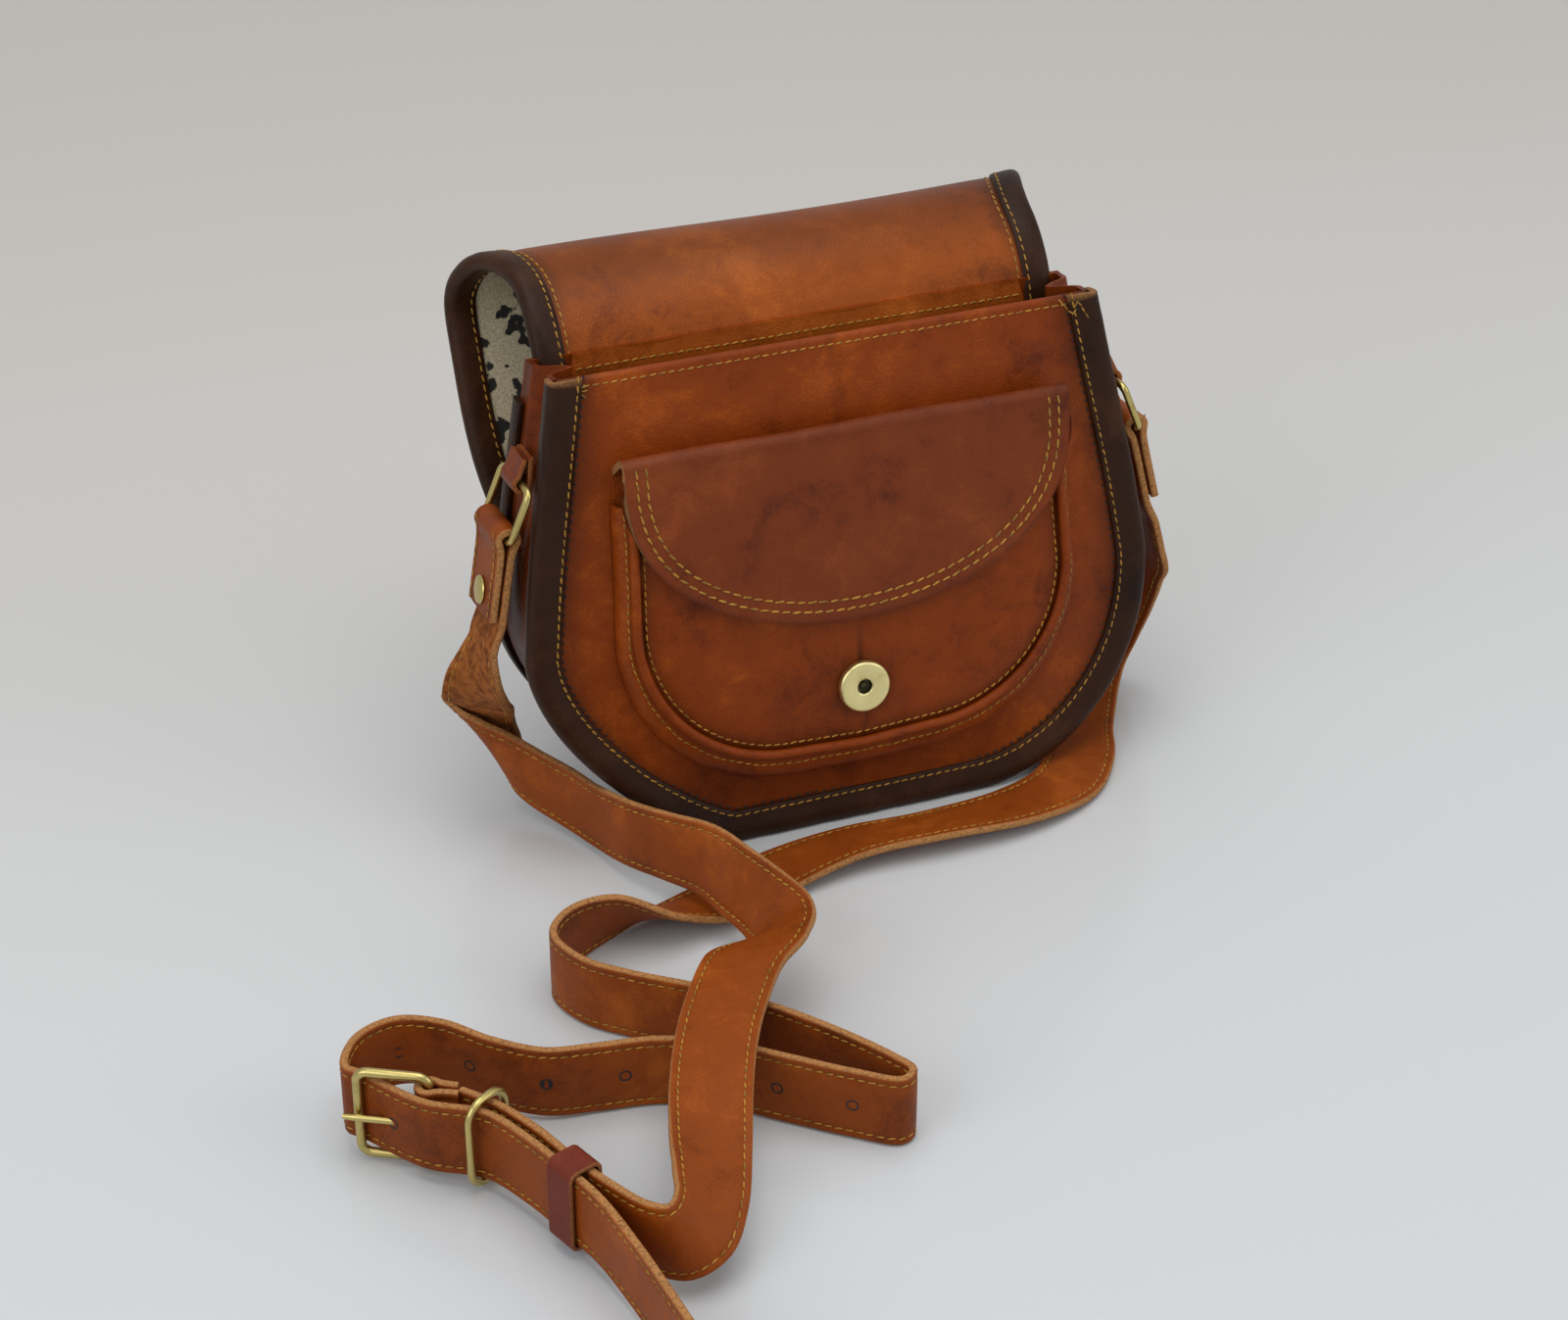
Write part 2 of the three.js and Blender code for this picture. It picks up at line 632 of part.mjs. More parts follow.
add("flap_skirt_hide", skirtSlab(-SEAT / 2 - hideThick, -SEAT / 2), HIDE, 0.8);
{
  const path = [
    new THREE.Vector2(-flapHalf(stripTotal), FLAP_BINDING_END + 0.6),
    ...skirtLine.slice(1, -1),
    new THREE.Vector2(flapHalf(stripTotal), FLAP_BINDING_END + 0.6),
  ];
  const r = FLAP_THICK / 2;
  const t = FLAP_BINDING_LEATHER;
  const rings = path.map((p, i) => {
    const a = path[Math.max(0, i - 1)];
    const b = path[Math.min(path.length - 1, i + 1)];
    const n = new THREE.Vector2(b.y - a.y, -(b.x - a.x)).normalize();
    if (n.dot(new THREE.Vector2(p.x, p.y - SKIRT_LENGTH * 0.3)) < 0) n.negate();
    if (i === 0) n.set(-1, 0);
    if (i === path.length - 1) n.set(1, 0);
    const c = [
      [-FLAP_BINDING_FACE, r + SEAT],
      [-FLAP_BINDING_FACE, r + SEAT + t],
      [SEAT, r + SEAT + t],
      [SEAT + t, r + SEAT],
      [SEAT + t, -r - SEAT],
      [SEAT, -r - SEAT - t],
      [-FLAP_BINDING_FACE, -r - SEAT - t],
      [-FLAP_BINDING_FACE, -r - SEAT],
      [SEAT, -r - SEAT],
      [SEAT, r + SEAT],
    ];
    return c.map(([o, off]) => onSkirt(p.x + n.x * o, p.y + n.y * o, off));
  });
  add("flap_binding_skirt", loft(rings), LEATHER_DARK, 0.5);
}

// the stud sits on the skirt's leather side where the closed skirt meets the socket
const studSeat = FLAP_THICK / 2 + SEAT;
add(
  "snap_stud",
  solid(onAxis(disc(SNAP_RADIUS, 0, STUD_THICK), onSkirt(0, snapS, studSeat), skirtSide)),
  BRASS,
  0.35,
  1,
);
add(
  "snap_stud_washer",
  solid(onAxis(disc(WASHER_RADIUS, 0, WASHER_THICK), onSkirt(0, snapS, -studSeat), skirtSide.clone().negate())),
  BRASS,
  0.4,
  1,
);

// ring tabs, rings and the strap's folded ends, on both sides
const ringLean = (FRONT_LEAN + BACK_LEAN) / 2;
const RING_DEPTH = V(0, Math.cos(ringLean), -Math.sin(ringLean));
const ringMiddle = onFront(0, RING_AT, -LEATHER).lerp(onBack(0, RING_AT, -LEATHER), 0.46);
const gussetAt = (v) => halfAt(v) - pinchAt(v) * (BACK_HEIGHT / FRONT_HEIGHT);
const barLoop = RING_BAR + RUN;
const tabOuter = barLoop + TAB_LEATHER;
const foldOuter = barLoop + STRAP_THICK;
// the upper bar stands off the gusset by the tab, the lower bar by the strap's fold
const ringTopX = gussetAt(RING_AT) + SEAT + tabOuter + RING_STAND;
const RING_DOWN = (sign) => V(sign * Math.sin(RING_TILT), 0, -Math.cos(RING_TILT));
const ringInnerHalf = STRAP_WIDTH / 2 + 1;
const RINGS = {};
for (const [name, sign] of [
  ["left", -1],
  ["right", 1],
]) {
  const top = V(sign * ringTopX, ringMiddle.y, ringMiddle.z);
  const down = RING_DOWN(sign);
  const low = top.clone().addScaledVector(down, RING_HEIGHT);
  const depth = RING_DEPTH;
  const out = depth.clone().cross(down).normalize();
  if (out.x * sign < 0) out.negate();
  RINGS[name] = { top, low, down, depth, out };
  // wire ring with rounded corners, swept round a closed path
  const half = ringInnerHalf + RING_BAR;
  const corner = 3;
  const path = [];
  for (const [cx, cy, a0] of [
    [half - corner, RING_HEIGHT - corner, 0],
    [-half + corner, RING_HEIGHT - corner, 90],
    [-half + corner, corner, 180],
    [half - corner, corner, 270],
  ]) {
    for (let k = 0; k <= 3; k++) {
      const a = THREE.MathUtils.degToRad(a0 + k * 30);
      path.push([cx + corner * Math.cos(a), cy + corner * Math.sin(a), Math.cos(a), Math.sin(a)]);
    }
  }
  const sides = 8;
  const position = [];
  const index = [];
  for (const [d, h, nd, nh] of path) {
    for (let k = 0; k < sides; k++) {
      const a = (k / sides) * 2 * Math.PI;
      const rr = RING_BAR * Math.cos(a);
      const p = top
        .clone()
        .addScaledVector(depth, d + nd * rr)
        .addScaledVector(down, h + nh * rr)
        .addScaledVector(out, RING_BAR * Math.sin(a));
      position.push(p.x, p.y, p.z);
    }
  }
  for (let i = 0; i < path.length; i++) {
    for (let k = 0; k < sides; k++) {
      const a = i * sides + k;
      const b = i * sides + ((k + 1) % sides);
      const a2 = ((i + 1) % path.length) * sides + k;
      const b2 = ((i + 1) % path.length) * sides + ((k + 1) % sides);
      index.push(a, b, b2, a, b2, a2);
    }
  }
  add(`ring_${name}`, outward(position, index), BRASS, 0.35, 1);
  // the tab: one loop round the upper bar, both layers flat on the gusset above it
  const tabShape = new THREE.Shape();
  tabShape.moveTo(-tabOuter, TAB_HEIGHT);
  tabShape.absarc(0, 0, tabOuter, Math.PI, 2 * Math.PI + 0.9, false);
  tabShape.lineTo(-tabOuter + 2 * TAB_LEATHER + SEAT, tabOuter + 1.2);
  tabShape.lineTo(-tabOuter + 2 * TAB_LEATHER + SEAT, TAB_HEIGHT);
  const tabHole = new THREE.Path();
  tabHole.absarc(0, 0, barLoop, 0, 2 * Math.PI, true);
  tabShape.holes.push(tabHole);
  const tab = new THREE.ExtrudeGeometry(tabShape, { depth: TAB_WIDTH, bevelEnabled: false, curveSegments: 12 });
  const lean = Math.atan2(gussetAt(RING_AT) - gussetAt(RING_AT + TAB_HEIGHT), TAB_HEIGHT);
  const tabUp = V(-sign * Math.sin(lean * 0.5), 0, Math.cos(lean * 0.5));
  tabUp.addScaledVector(depth, -tabUp.dot(depth)).normalize();
  const tabX = depth.clone().cross(tabUp).normalize();
  if (tabX.x * sign < 0) tabX.negate();
  const tabZ = tabX.clone().cross(tabUp);
  const tabM = frame(top.clone().addScaledVector(tabZ, -TAB_WIDTH / 2), tabX, tabUp, tabZ);
  add(`ring_tab_${name}`, solid(placed(tab, tabM)), LEATHER_BROWN);
  // folded strap end on the lower bar, drilled for its rivet
  const endShape = new THREE.Shape();
  const layers = STRAP_THICK + SEAT / 2;
  endShape.moveTo(-layers, STRAP_END);
  endShape.lineTo(-layers, foldOuter * 0.9);
  endShape.absarc(0, 0, foldOuter, Math.PI - 0.45, 2 * Math.PI + 0.45, false);
  endShape.lineTo(layers, foldOuter * 0.9);
  endShape.lineTo(layers, STRAP_END);
  const endHole = new THREE.Path();
  endHole.absarc(0, 0, barLoop, 0, 2 * Math.PI, true);
  endShape.holes.push(endHole);
  const end = new THREE.ExtrudeGeometry(endShape, { depth: STRAP_WIDTH, bevelEnabled: false, curveSegments: 10 });
  const hangOut = BODY_WIDTH / 2 + FOOT + HANG_CLEARANCE + layers - Math.abs(low.x);
  const hangTilt = Math.atan2(hangOut, low.z - WIDEST_AT);
  const endDown = V(sign * Math.sin(hangTilt), 0, -Math.cos(hangTilt));
  endDown.addScaledVector(depth, -endDown.dot(depth)).normalize();
  const endX = depth.clone().cross(endDown).normalize();
  const endZ = endX.clone().cross(endDown);
  const endOut = endX.x * sign > 0 ? endX.clone() : endX.clone().negate();
  const endM = frame(low.clone().addScaledVector(endZ, -STRAP_WIDTH / 2), endX, endDown, endZ);
  const rivetAt = low.clone().addScaledVector(endDown, RIVET_DROP);
  const reach = STRAP_THICK + SEAT / 2;
  const drill = onAxis(
    new THREE.CylinderGeometry(RIVET_POST + SEAT, RIVET_POST + SEAT, 4 * reach, 12),
    rivetAt,
    endOut,
  );
  add(`strap_end_${name}`, cut(placed(end, endM), drill), STRAP_BROWN);
  const lo = reach + SEAT;
  const spool = new THREE.LatheGeometry(
    [
      [0, -lo - RIVET_CAP],
      [RIVET_RADIUS * 0.8, -lo - RIVET_CAP],
      [RIVET_RADIUS * 0.8, -lo],
      [RIVET_POST, -lo],
      [RIVET_POST, lo],
      [RIVET_RADIUS, lo],
      [RIVET_RADIUS, lo + RIVET_CAP * 0.5],
      [RIVET_RADIUS * 0.7, lo + RIVET_CAP],
      [0, lo + RIVET_CAP],
    ].map(([x, y]) => new THREE.Vector2(x, y)),
    16,
  );
  add(`strap_rivet_${name}`, solid(onAxis(spool, rivetAt, endOut)), BRASS, 0.35, 1);
  RINGS[name].endTip = low.clone().addScaledVector(endDown, STRAP_END + SEAT);
  RINGS[name].endDown = endDown.clone();
  RINGS[name].endOut = endOut.clone();
  RINGS[name].rivetAt = rivetAt;
}

// straps: ribbons through hand-chosen stations, each a centre and the way to its upper edge
// the edge way between stations k and k + 1: a Catmull-Rom curve through the stations' ways
function easedWay(ways, k, g) {
  const [a, b, c, d] = [-1, 0, 1, 2].map((i) => ways[Math.min(ways.length - 1, Math.max(0, k + i))]);
  const way = V(0, 0, 0);
  way.addScaledVector(a, 0.5 * g * (-1 + g * (2 - g)));
  way.addScaledVector(b, 1 + 0.5 * g * g * (3 * g - 5));
  way.addScaledVector(c, 0.5 * g * (1 + g * (4 - 3 * g)));
  way.addScaledVector(d, 0.5 * g * g * (g - 1));
  return way;
}

function ribbon(stations, steps, width = STRAP_WIDTH, thick = STRAP_THICK) {
  const centre = new THREE.CatmullRomCurve3(stations.map((s) => V(s[0], s[1], s[2])), false, "centripetal");
  const ways = stations.map((s) => V(s[3], s[4], s[5]).normalize());
  const rings = [];
  for (let i = 0; i <= steps; i++) {
    const t = i / steps;
    const c = centre.getPoint(t);
    const tangent = centre.getTangent(t);
    const f = t * (stations.length - 1);
    const k = Math.min(stations.length - 2, Math.floor(f));
    const g = f - k;
    const way = easedWay(ways, k, g);
    const square = way.clone().addScaledVector(tangent, -way.dot(tangent));
    const n = tangent.clone().cross(square).normalize();
    // a ring may slant across the strap, as along a fold, and is longer then, so that the width stays
    const a = way.clone().multiplyScalar(width / 2 / square.length());
    const b = n.clone().multiplyScalar(thick / 2);
    rings.push([
      c.clone().sub(a).sub(b),
      c.clone().sub(a).add(b),
      c.clone().add(a).add(b),
      c.clone().add(a).sub(b),
    ]);
  }
  return loft(rings);
}

const upLeft = RINGS.left.depth;
const tipL = RINGS.left.endTip;
const tipR = RINGS.right.endTip;
// the buckle strap, from the left folded end to the buckle
const startL = tipL.clone().addScaledVector(RINGS.left.endDown, 9);
const BUCKLE_STRAP = [
  [tipL.x, tipL.y, tipL.z, upLeft.x, upLeft.y, upLeft.z],
  [startL.x, startL.y, startL.z, -0.25, 0.96, 0.1],
  [-123, 12, 58, -0.6, 0.78, 0.2],
  [-121.5, 18, 49, -0.84, 0.5, 0.2],
  [-119.5, 25, 41.5, -0.86, 0.38, 0.34],
  [-117.5, 29.5, 35, -0.78, 0.24, 0.56],
  [-117, 28.5, 29, -0.64, 0.05, 0.75],
  [-115.5, 23.5, 24.5, -0.42, 0, 0.9],
  [-111.5, 18.5, 21.8, -0.22, 0, 0.97],
  [-103.5, 9, 17.7, -0.06, 0, 1],
  [-96.5, -2.5, 16, 0, 0, 1],
  [-91, -15.5, 15.5, 0, 0, 1],
  [-85, -32.5, 18, 0.05, 0, 1],
  [-76.5, -46.5, 19.7, 0.14, 0, 0.99],
  [-68.5, -60, 21.5, 0.3, 0, 0.95],
  [-64, -77, 22.5, 0.42, 0, 0.9],
  [-60, -94, 23.2, 0.56, -0.05, 0.83],
  [-60, -107, 25, 0.8, -0.12, 0.58],
  [-68.5, -117, 28.2, 0.94, -0.26, 0.22],
  [-80, -127.5, 30.2, 0.92, -0.38, 0.06],
  [-90.5, -142, 30.3, 0.93, -0.36, 0],
  [-101, -160, 29.8, 0.95, -0.31, 0],
  [-110.5, -181, 28.4, 0.95, -0.28, -0.1],
  [-118, -201, 25.8, 0.86, -0.4, -0.3],
  [-124.5, -218, 22.8, 0.66, -0.5, -0.55],
  [-131, -228.5, 20.2, 0.42, -0.45, -0.79],
  [-138, -231, 18.6, 0.18, -0.25, -0.95],
  [-145, -225, 17.7, 0.03, -0.05, -1],
  [-151.5, -213.5, 17.5, 0, 0, -1],
  [-158, -199, 17.5, 0, 0, -1],
  [-164, -182, 17.5, 0, 0, -1],
  [-172, -166, 17.5, 0, 0, -1],
  [0, 0, 0, 0, 0, 0], // set below, at the heel bar
];
// the heel bar stands upright where the buckle strap folds round it
const BUCKLE_MID = 17.5; // height of the buckle's middle above the floor
const BUCKLE_WAY = V(0.87, -0.493, 0).normalize(); // from the far bar to the heel bar
const HEEL = V(-188, -151.6, BUCKLE_MID);
const BUCKLE_NEAR = V(-BUCKLE_WAY.y, BUCKLE_WAY.x, 0).negate(); // towards the viewer, square to the frame
const lastA = HEEL.clone().addScaledVector(BUCKLE_WAY, foldOuter + 4.6);
BUCKLE_STRAP[BUCKLE_STRAP.length - 1] = [lastA.x, lastA.y, lastA.z, 0, 0, -1];

// the punched strap, from the right folded end, under the bag's edge, through two loops and the buckle
const upRight = RINGS.right.depth;
const FAR = HEEL.clone().addScaledVector(BUCKLE_WAY, -BUCKLE_LENGTH);
const farPass = FAR.clone().addScaledVector(BUCKLE_NEAR, -(BUCKLE_BAR + RUN + STRAP_THICK / 2));
const heelPass = HEEL.clone().addScaledVector(BUCKLE_NEAR, foldOuter + 2 * RUN + STRAP_THICK / 2);
const startR = tipR.clone().addScaledVector(RINGS.right.endDown, 10);
const PUNCHED_STRAP = [
  [tipR.x, tipR.y, tipR.z, -upRight.x, -upRight.y, -upRight.z],
  [startR.x, startR.y, startR.z, 0, -1, 0.1],
  [123, 17, 51, 0.25, -0.96, 0.08],
  [122, 24, 36, 0.48, -0.87, 0.04],
  [119, 29, 21, 0.68, -0.73, 0],
  [114.5, 29.5, 9.5, 0.8, -0.6, 0],
  [108.5, 22.5, 3.6, 0.84, -0.54, 0],
  [101, 10, 2.2, 0.85, -0.52, 0],
  [93, -4.5, 2.2, 0.85, -0.52, 0],
  [86, -20, 2.2, 0.8, -0.6, 0],
  [73.5, -35, 2.2, 0.6, -0.8, 0.01],
  [51, -44.5, 4, 0.3, -0.94, 0.12],
  [18, -47, 5.4, 0, -0.95, 0.25],
  [-10, -46, 5.0, 0, -0.96, 0.22],
  [-36, -50, 3.6, 0.1, -0.98, 0.1],
  [-62, -60, 3.4, 0.25, -0.95, 0.05],
  [-84, -66, 7.4, 0.15, -0.85, 0.42],
  [-104, -68, 12.6, 0, -0.4, 0.92],
  [-120, -74, 12.9, 0, -0.1, 1],
  [-129, -86, 12.9, 0, 0, 1],
  [-124.5, -102, 12.9, 0, 0, 1],
  [-113, -114, 12.9, 0, 0, 1],
  [-97, -127, 12.9, 0, 0, 1],
  [-80, -143, 12.9, 0, 0, 1],
  [-65, -162, 12.9, 0, 0, 1],
  [-52.5, -182, 12.9, 0, 0, 1],
  [-49.5, -189.5, 12.9, 0, 0, 1],
  [-54, -193, 12.9, 0, 0, 1],
  [-67, -184, 12.9, 0, 0, 1],
  [-82, -171, 12.9, 0, 0, 1],
  [-98, -157.5, 12.9, 0, 0, 1],
  [-116, -148.5, 12.9, 0, 0, 1],
  [-134, -145.5, 13.2, 0, 0, 1],
  [-150, -143, 14, 0, 0, 1],
  [-164, -134, 15.5, 0, 0, 1],
  [-176, -122, 16.8, 0, 0, 1],
  [-189, -116.5, 17.5, 0, 0, 1],
  [-202, -121, 17.5, 0, 0, 1],
];
const outOfFar = farPass.clone().addScaledVector(BUCKLE_WAY, -5).addScaledVector(BUCKLE_NEAR, -2);
PUNCHED_STRAP.push([outOfFar.x, outOfFar.y, outOfFar.z, 0, 0, 1]);
PUNCHED_STRAP.push([farPass.x, farPass.y, farPass.z, 0, 0, 1]);
PUNCHED_STRAP.push([heelPass.x, heelPass.y, heelPass.z, 0, 0, 1]);
const keeperTail = [
  [-176.2, -169, 17.5],
  [-168, -184.5, 17.5],
  [-162, -201, 17.5],
  [-157, -216, 17.2],
  [-153, -236, 15.5],
  [-149.5, -262, 13.5],
  [-147.5, -284, 13],
];
for (const [x, y, z] of keeperTail) PUNCHED_STRAP.push([x, y, z, 0, 0, 1]);

// buckle frame: a wire rectangle in the upright plane of the strap, with the heel bar as one side
const frameHalf = STRAP_WIDTH / 2 + 1 + BUCKLE_BAR;
function wireLoop(corner, alongLow, alongHigh, halfHeight, along, up, middle, radius, sides = 8) {
  const out = along.clone().cross(up);
  const path = [];
  for (const [cx, cy, a0] of [
    [alongHigh - corner, halfHeight - corner, 0],
    [alongLow + corner, halfHeight - corner, 90],
    [alongLow + corner, -halfHeight + corner, 180],
    [alongHigh - corner, -halfHeight + corner, 270],
  ]) {
    for (let k = 0; k <= 3; k++) {
      const a = THREE.MathUtils.degToRad(a0 + k * 30);
      path.push([cx + corner * Math.cos(a), cy + corner * Math.sin(a), Math.cos(a), Math.sin(a)]);
    }
  }
  const position = [];
  const index = [];
  for (const [d, h, nd, nh] of path) {
    for (let k = 0; k < sides; k++) {
      const a = (k / sides) * 2 * Math.PI;
      const rr = radius * Math.cos(a);
      const p = middle
        .clone()
        .addScaledVector(along, d + nd * rr)
        .addScaledVector(up, h + nh * rr)
        .addScaledVector(out, radius * Math.sin(a));
      position.push(p.x, p.y, p.z);
    }
  }
  for (let i = 0; i < path.length; i++) {
    for (let k = 0; k < sides; k++) {
      const a = i * sides + k;
      const b = i * sides + ((k + 1) % sides);
      const n = ((i + 1) % path.length) * sides;
      index.push(a, b, n + ((k + 1) % sides), a, n + ((k + 1) % sides), n + k);
    }
  }
  return outward(position, index);
}
const Z = V(0, 0, 1);
add(
  "buckle_frame",
  wireLoop(2.5, -BUCKLE_LENGTH, 0, frameHalf, BUCKLE_WAY, Z, HEEL, BUCKLE_BAR),
  BRASS,
  0.35,
  1,
);
// prong: a ring on the heel bar and a rod to the outside of the far bar
const prongOuter = BUCKLE_BAR + RUN + 2 * PRONG_BAR;
const prongHeight = 2 * PRONG_BAR;
function prongSolid(grow) {
  const ring = new THREE.Shape();
  ring.absarc(0, 0, prongOuter + grow, 0, 2 * Math.PI, false);
  if (grow === 0) {
    const hole = new THREE.Path();
    hole.absarc(0, 0, BUCKLE_BAR + RUN, 0, 2 * Math.PI, true);
    ring.holes.push(hole);
  }
  const depth = prongHeight + 2 * grow;
  const eye = new THREE.ExtrudeGeometry(ring, { depth, bevelEnabled: false, curveSegments: 16 });
  const tip = -BUCKLE_LENGTH - BUCKLE_BAR - 3 - grow;
  const root = -BUCKLE_BAR - RUN;
  const rod = new THREE.BoxGeometry(root - tip, 2 * PRONG_BAR + 2 * grow, depth);
  rod.translate((root + tip) / 2, BUCKLE_BAR + SEAT + PRONG_BAR, depth / 2);
  return fromSolid(toSolid(eye).add(toSolid(rod)));
}
function prongPlace(grow) {
  return frame(
    HEEL.clone().addScaledVector(Z, -prongHeight / 2 - grow),
    BUCKLE_WAY,
    BUCKLE_NEAR,
    BUCKLE_WAY.clone().cross(BUCKLE_NEAR),
  );
}
const flipZ = BUCKLE_WAY.clone().cross(BUCKLE_NEAR).z < 0;
const prongM = (grow) => {
  const m = prongPlace(grow);
  if (flipZ) m.setPosition(HEEL.clone().addScaledVector(Z, prongHeight / 2 + grow));
  return m;
};
const PRONG_GAP = 1.2; // play of the prong in its slots
add("buckle_prong", solid(placed(prongSolid(0), prongM(0))), BRASS, 0.35, 1);
const prongTool = placed(prongSolid(PRONG_GAP), prongM(PRONG_GAP));

// the buckle strap's end folds round the heel bar, slotted for the prong
{
  const shape = new THREE.Shape();
  const turn = Math.PI * 0.3;
  shape.absarc(0, 0, foldOuter, turn, 2 * Math.PI - turn, false);
  shape.lineTo(foldOuter + 4, -foldOuter * 0.75);
  shape.lineTo(foldOuter + 4, foldOuter * 0.75);
  const hole = new THREE.Path();
  hole.absarc(0, 0, BUCKLE_BAR + RUN, 0, 2 * Math.PI, true);
  shape.holes.push(hole);
  const g = new THREE.ExtrudeGeometry(shape, {
    depth: STRAP_WIDTH,
    bevelEnabled: false,
    curveSegments: 12,
  });
  const zAxis = BUCKLE_WAY.clone().cross(BUCKLE_NEAR);
  const m = frame(
    HEEL.clone().addScaledVector(zAxis, -STRAP_WIDTH / 2),
    BUCKLE_WAY,
    BUCKLE_NEAR,
    zAxis,
  );
  const slotEnd = prongOuter + PRONG_GAP;
  const slot = new THREE.BoxGeometry(slotEnd + foldOuter + 2, 2 * foldOuter + 4, prongHeight + 2 * PRONG_GAP);
  slot.translate((slotEnd - foldOuter - 2) / 2, 0, STRAP_WIDTH / 2);
  add("buckle_fold", cut(placed(g, m), placed(slot, m)), STRAP_BROWN);
}
add("buckle_strap", ribbon(BUCKLE_STRAP, 130), STRAP_BROWN);
add("punched_strap", cut(ribbon(PUNCHED_STRAP, 150), prongTool), STRAP_BROWN);

// keepers round both straps: a leather loop and a loose metal ring nearer the buckle
function keeper(origin, along, halfAcross, halfHigh, leather, length) {
  const across = V(-along.y, along.x, 0);
  const shape = new THREE.Shape();
  const w = halfAcross + leather;
  const h = halfHigh + leather;
  shape.moveTo(-w, -h);
  shape.lineTo(w, -h);
  shape.lineTo(w, h);
  shape.lineTo(-w, h);
  shape.lineTo(-w, -h);
  const hole = new THREE.Path();
  hole.moveTo(-halfAcross, -halfHigh);
  hole.lineTo(-halfAcross, halfHigh);
  hole.lineTo(halfAcross, halfHigh);
  hole.lineTo(halfAcross, -halfHigh);
  hole.lineTo(-halfAcross, -halfHigh);
  shape.holes.push(hole);
  const g = new THREE.ExtrudeGeometry(shape, { depth: length, bevelEnabled: false, steps: 1 });
  const m = frame(origin.clone().addScaledVector(along, -length / 2), across, Z, across.clone().cross(Z));
  return solid(placed(g, m));
}
const keeperWay = V(0.34, -0.94, 0).normalize();
const KEEPER = V(-159.4, -201.2, BUCKLE_MID);
const keeperAcross = STRAP_THICK + SEAT + 1.1;
add(
  "strap_keeper",
  keeper(KEEPER, keeperWay.clone().negate(), keeperAcross, STRAP_WIDTH / 2 + 0.6, KEEPER_LEATHER, KEEPER_LENGTH),
  LEATHER_RED,
);
const KEEPER_RING = V(-174.5, -165.5, BUCKLE_MID);
const keeperRingWay = V(0.53, -0.85, 0).normalize();
const ringAcross = V(-keeperRingWay.y, keeperRingWay.x, 0);
add(
  "keeper_ring",
  wireLoop(
    4.5,
    -keeperAcross - 3.6,
    keeperAcross + 2.8,
    STRAP_WIDTH / 2 + KEEPER_RING_BAR + 1,
    ringAcross,
    Z,
    KEEPER_RING,
    KEEPER_RING_BAR,
  ),
  BRASS,
  0.35,
  1,
);

export default group;
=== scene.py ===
import math

import bpy
import numpy as np
from mathutils import Matrix


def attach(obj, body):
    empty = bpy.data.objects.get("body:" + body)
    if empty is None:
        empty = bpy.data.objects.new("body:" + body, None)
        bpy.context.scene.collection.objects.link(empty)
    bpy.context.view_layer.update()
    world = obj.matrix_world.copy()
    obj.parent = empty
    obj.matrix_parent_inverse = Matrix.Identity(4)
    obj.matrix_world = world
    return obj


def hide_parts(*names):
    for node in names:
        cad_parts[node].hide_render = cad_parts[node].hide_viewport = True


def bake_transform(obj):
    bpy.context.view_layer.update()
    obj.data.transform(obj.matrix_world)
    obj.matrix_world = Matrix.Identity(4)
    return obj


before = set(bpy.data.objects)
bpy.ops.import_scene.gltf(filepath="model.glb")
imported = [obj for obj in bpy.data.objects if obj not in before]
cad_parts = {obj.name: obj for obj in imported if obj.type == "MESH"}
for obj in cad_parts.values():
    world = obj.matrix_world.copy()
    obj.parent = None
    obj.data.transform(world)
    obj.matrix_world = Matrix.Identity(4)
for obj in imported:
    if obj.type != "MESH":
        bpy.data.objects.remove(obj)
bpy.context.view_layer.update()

# Camera: a standing viewer's look down on the bag's front and left side, with a short telephoto lens.
# It was fitted to the body's outline and to the standing strap.
VIEW_AZIMUTH = math.radians(21)
VIEW_ELEVATION = math.radians(31.44)
VIEW_PLACE = (-0.3738, -0.9267, 0.6595)
VIEW_LENS = 78.29
viewer = bpy.data.cameras.new("viewer")
viewer.sensor_width = 36
viewer.lens = VIEW_LENS
viewer.clip_end = 50
viewer_object = bpy.data.objects.new("viewer", viewer)
viewer_object.location = VIEW_PLACE
viewer_object.rotation_euler = (math.pi / 2 - VIEW_ELEVATION, 0, -VIEW_AZIMUTH)
bpy.context.scene.collection.objects.link(viewer_object)
bpy.context.scene.camera = viewer_object
bpy.context.scene.view_settings.view_transform = "Standard"

# Shoulder strap, in two lengths: tan bridle leather 25 mm wide, cut with raw edges, its grain waxed and its
# flesh side left open, with one row of stitches along each edge. The first length runs from the left ring
# down to the floor, twists over and comes to the buckle; the second runs from the right ring through it.
STRAP_WIDTH = 25.0
STRAP_THICK = 2.7
STRAP_STEP = 1.5
STRAP_STITCH_IN = 2.6
STRAP_STITCH = {"pitch": 3.3, "length": 2.4, "wide": 0.6, "high": 0.55}
THREAD_SUNK = 0.18
TAN_LIT = (166, 84, 22)
TAN_MID = (136, 63, 13)
TAN_DARK = (100, 43, 9)
RAW_EDGE = (176, 124, 74)
SUEDE_LIT = (158, 92, 42)
SUEDE_DARK = (104, 56, 22)
THREAD = (184, 134, 40)

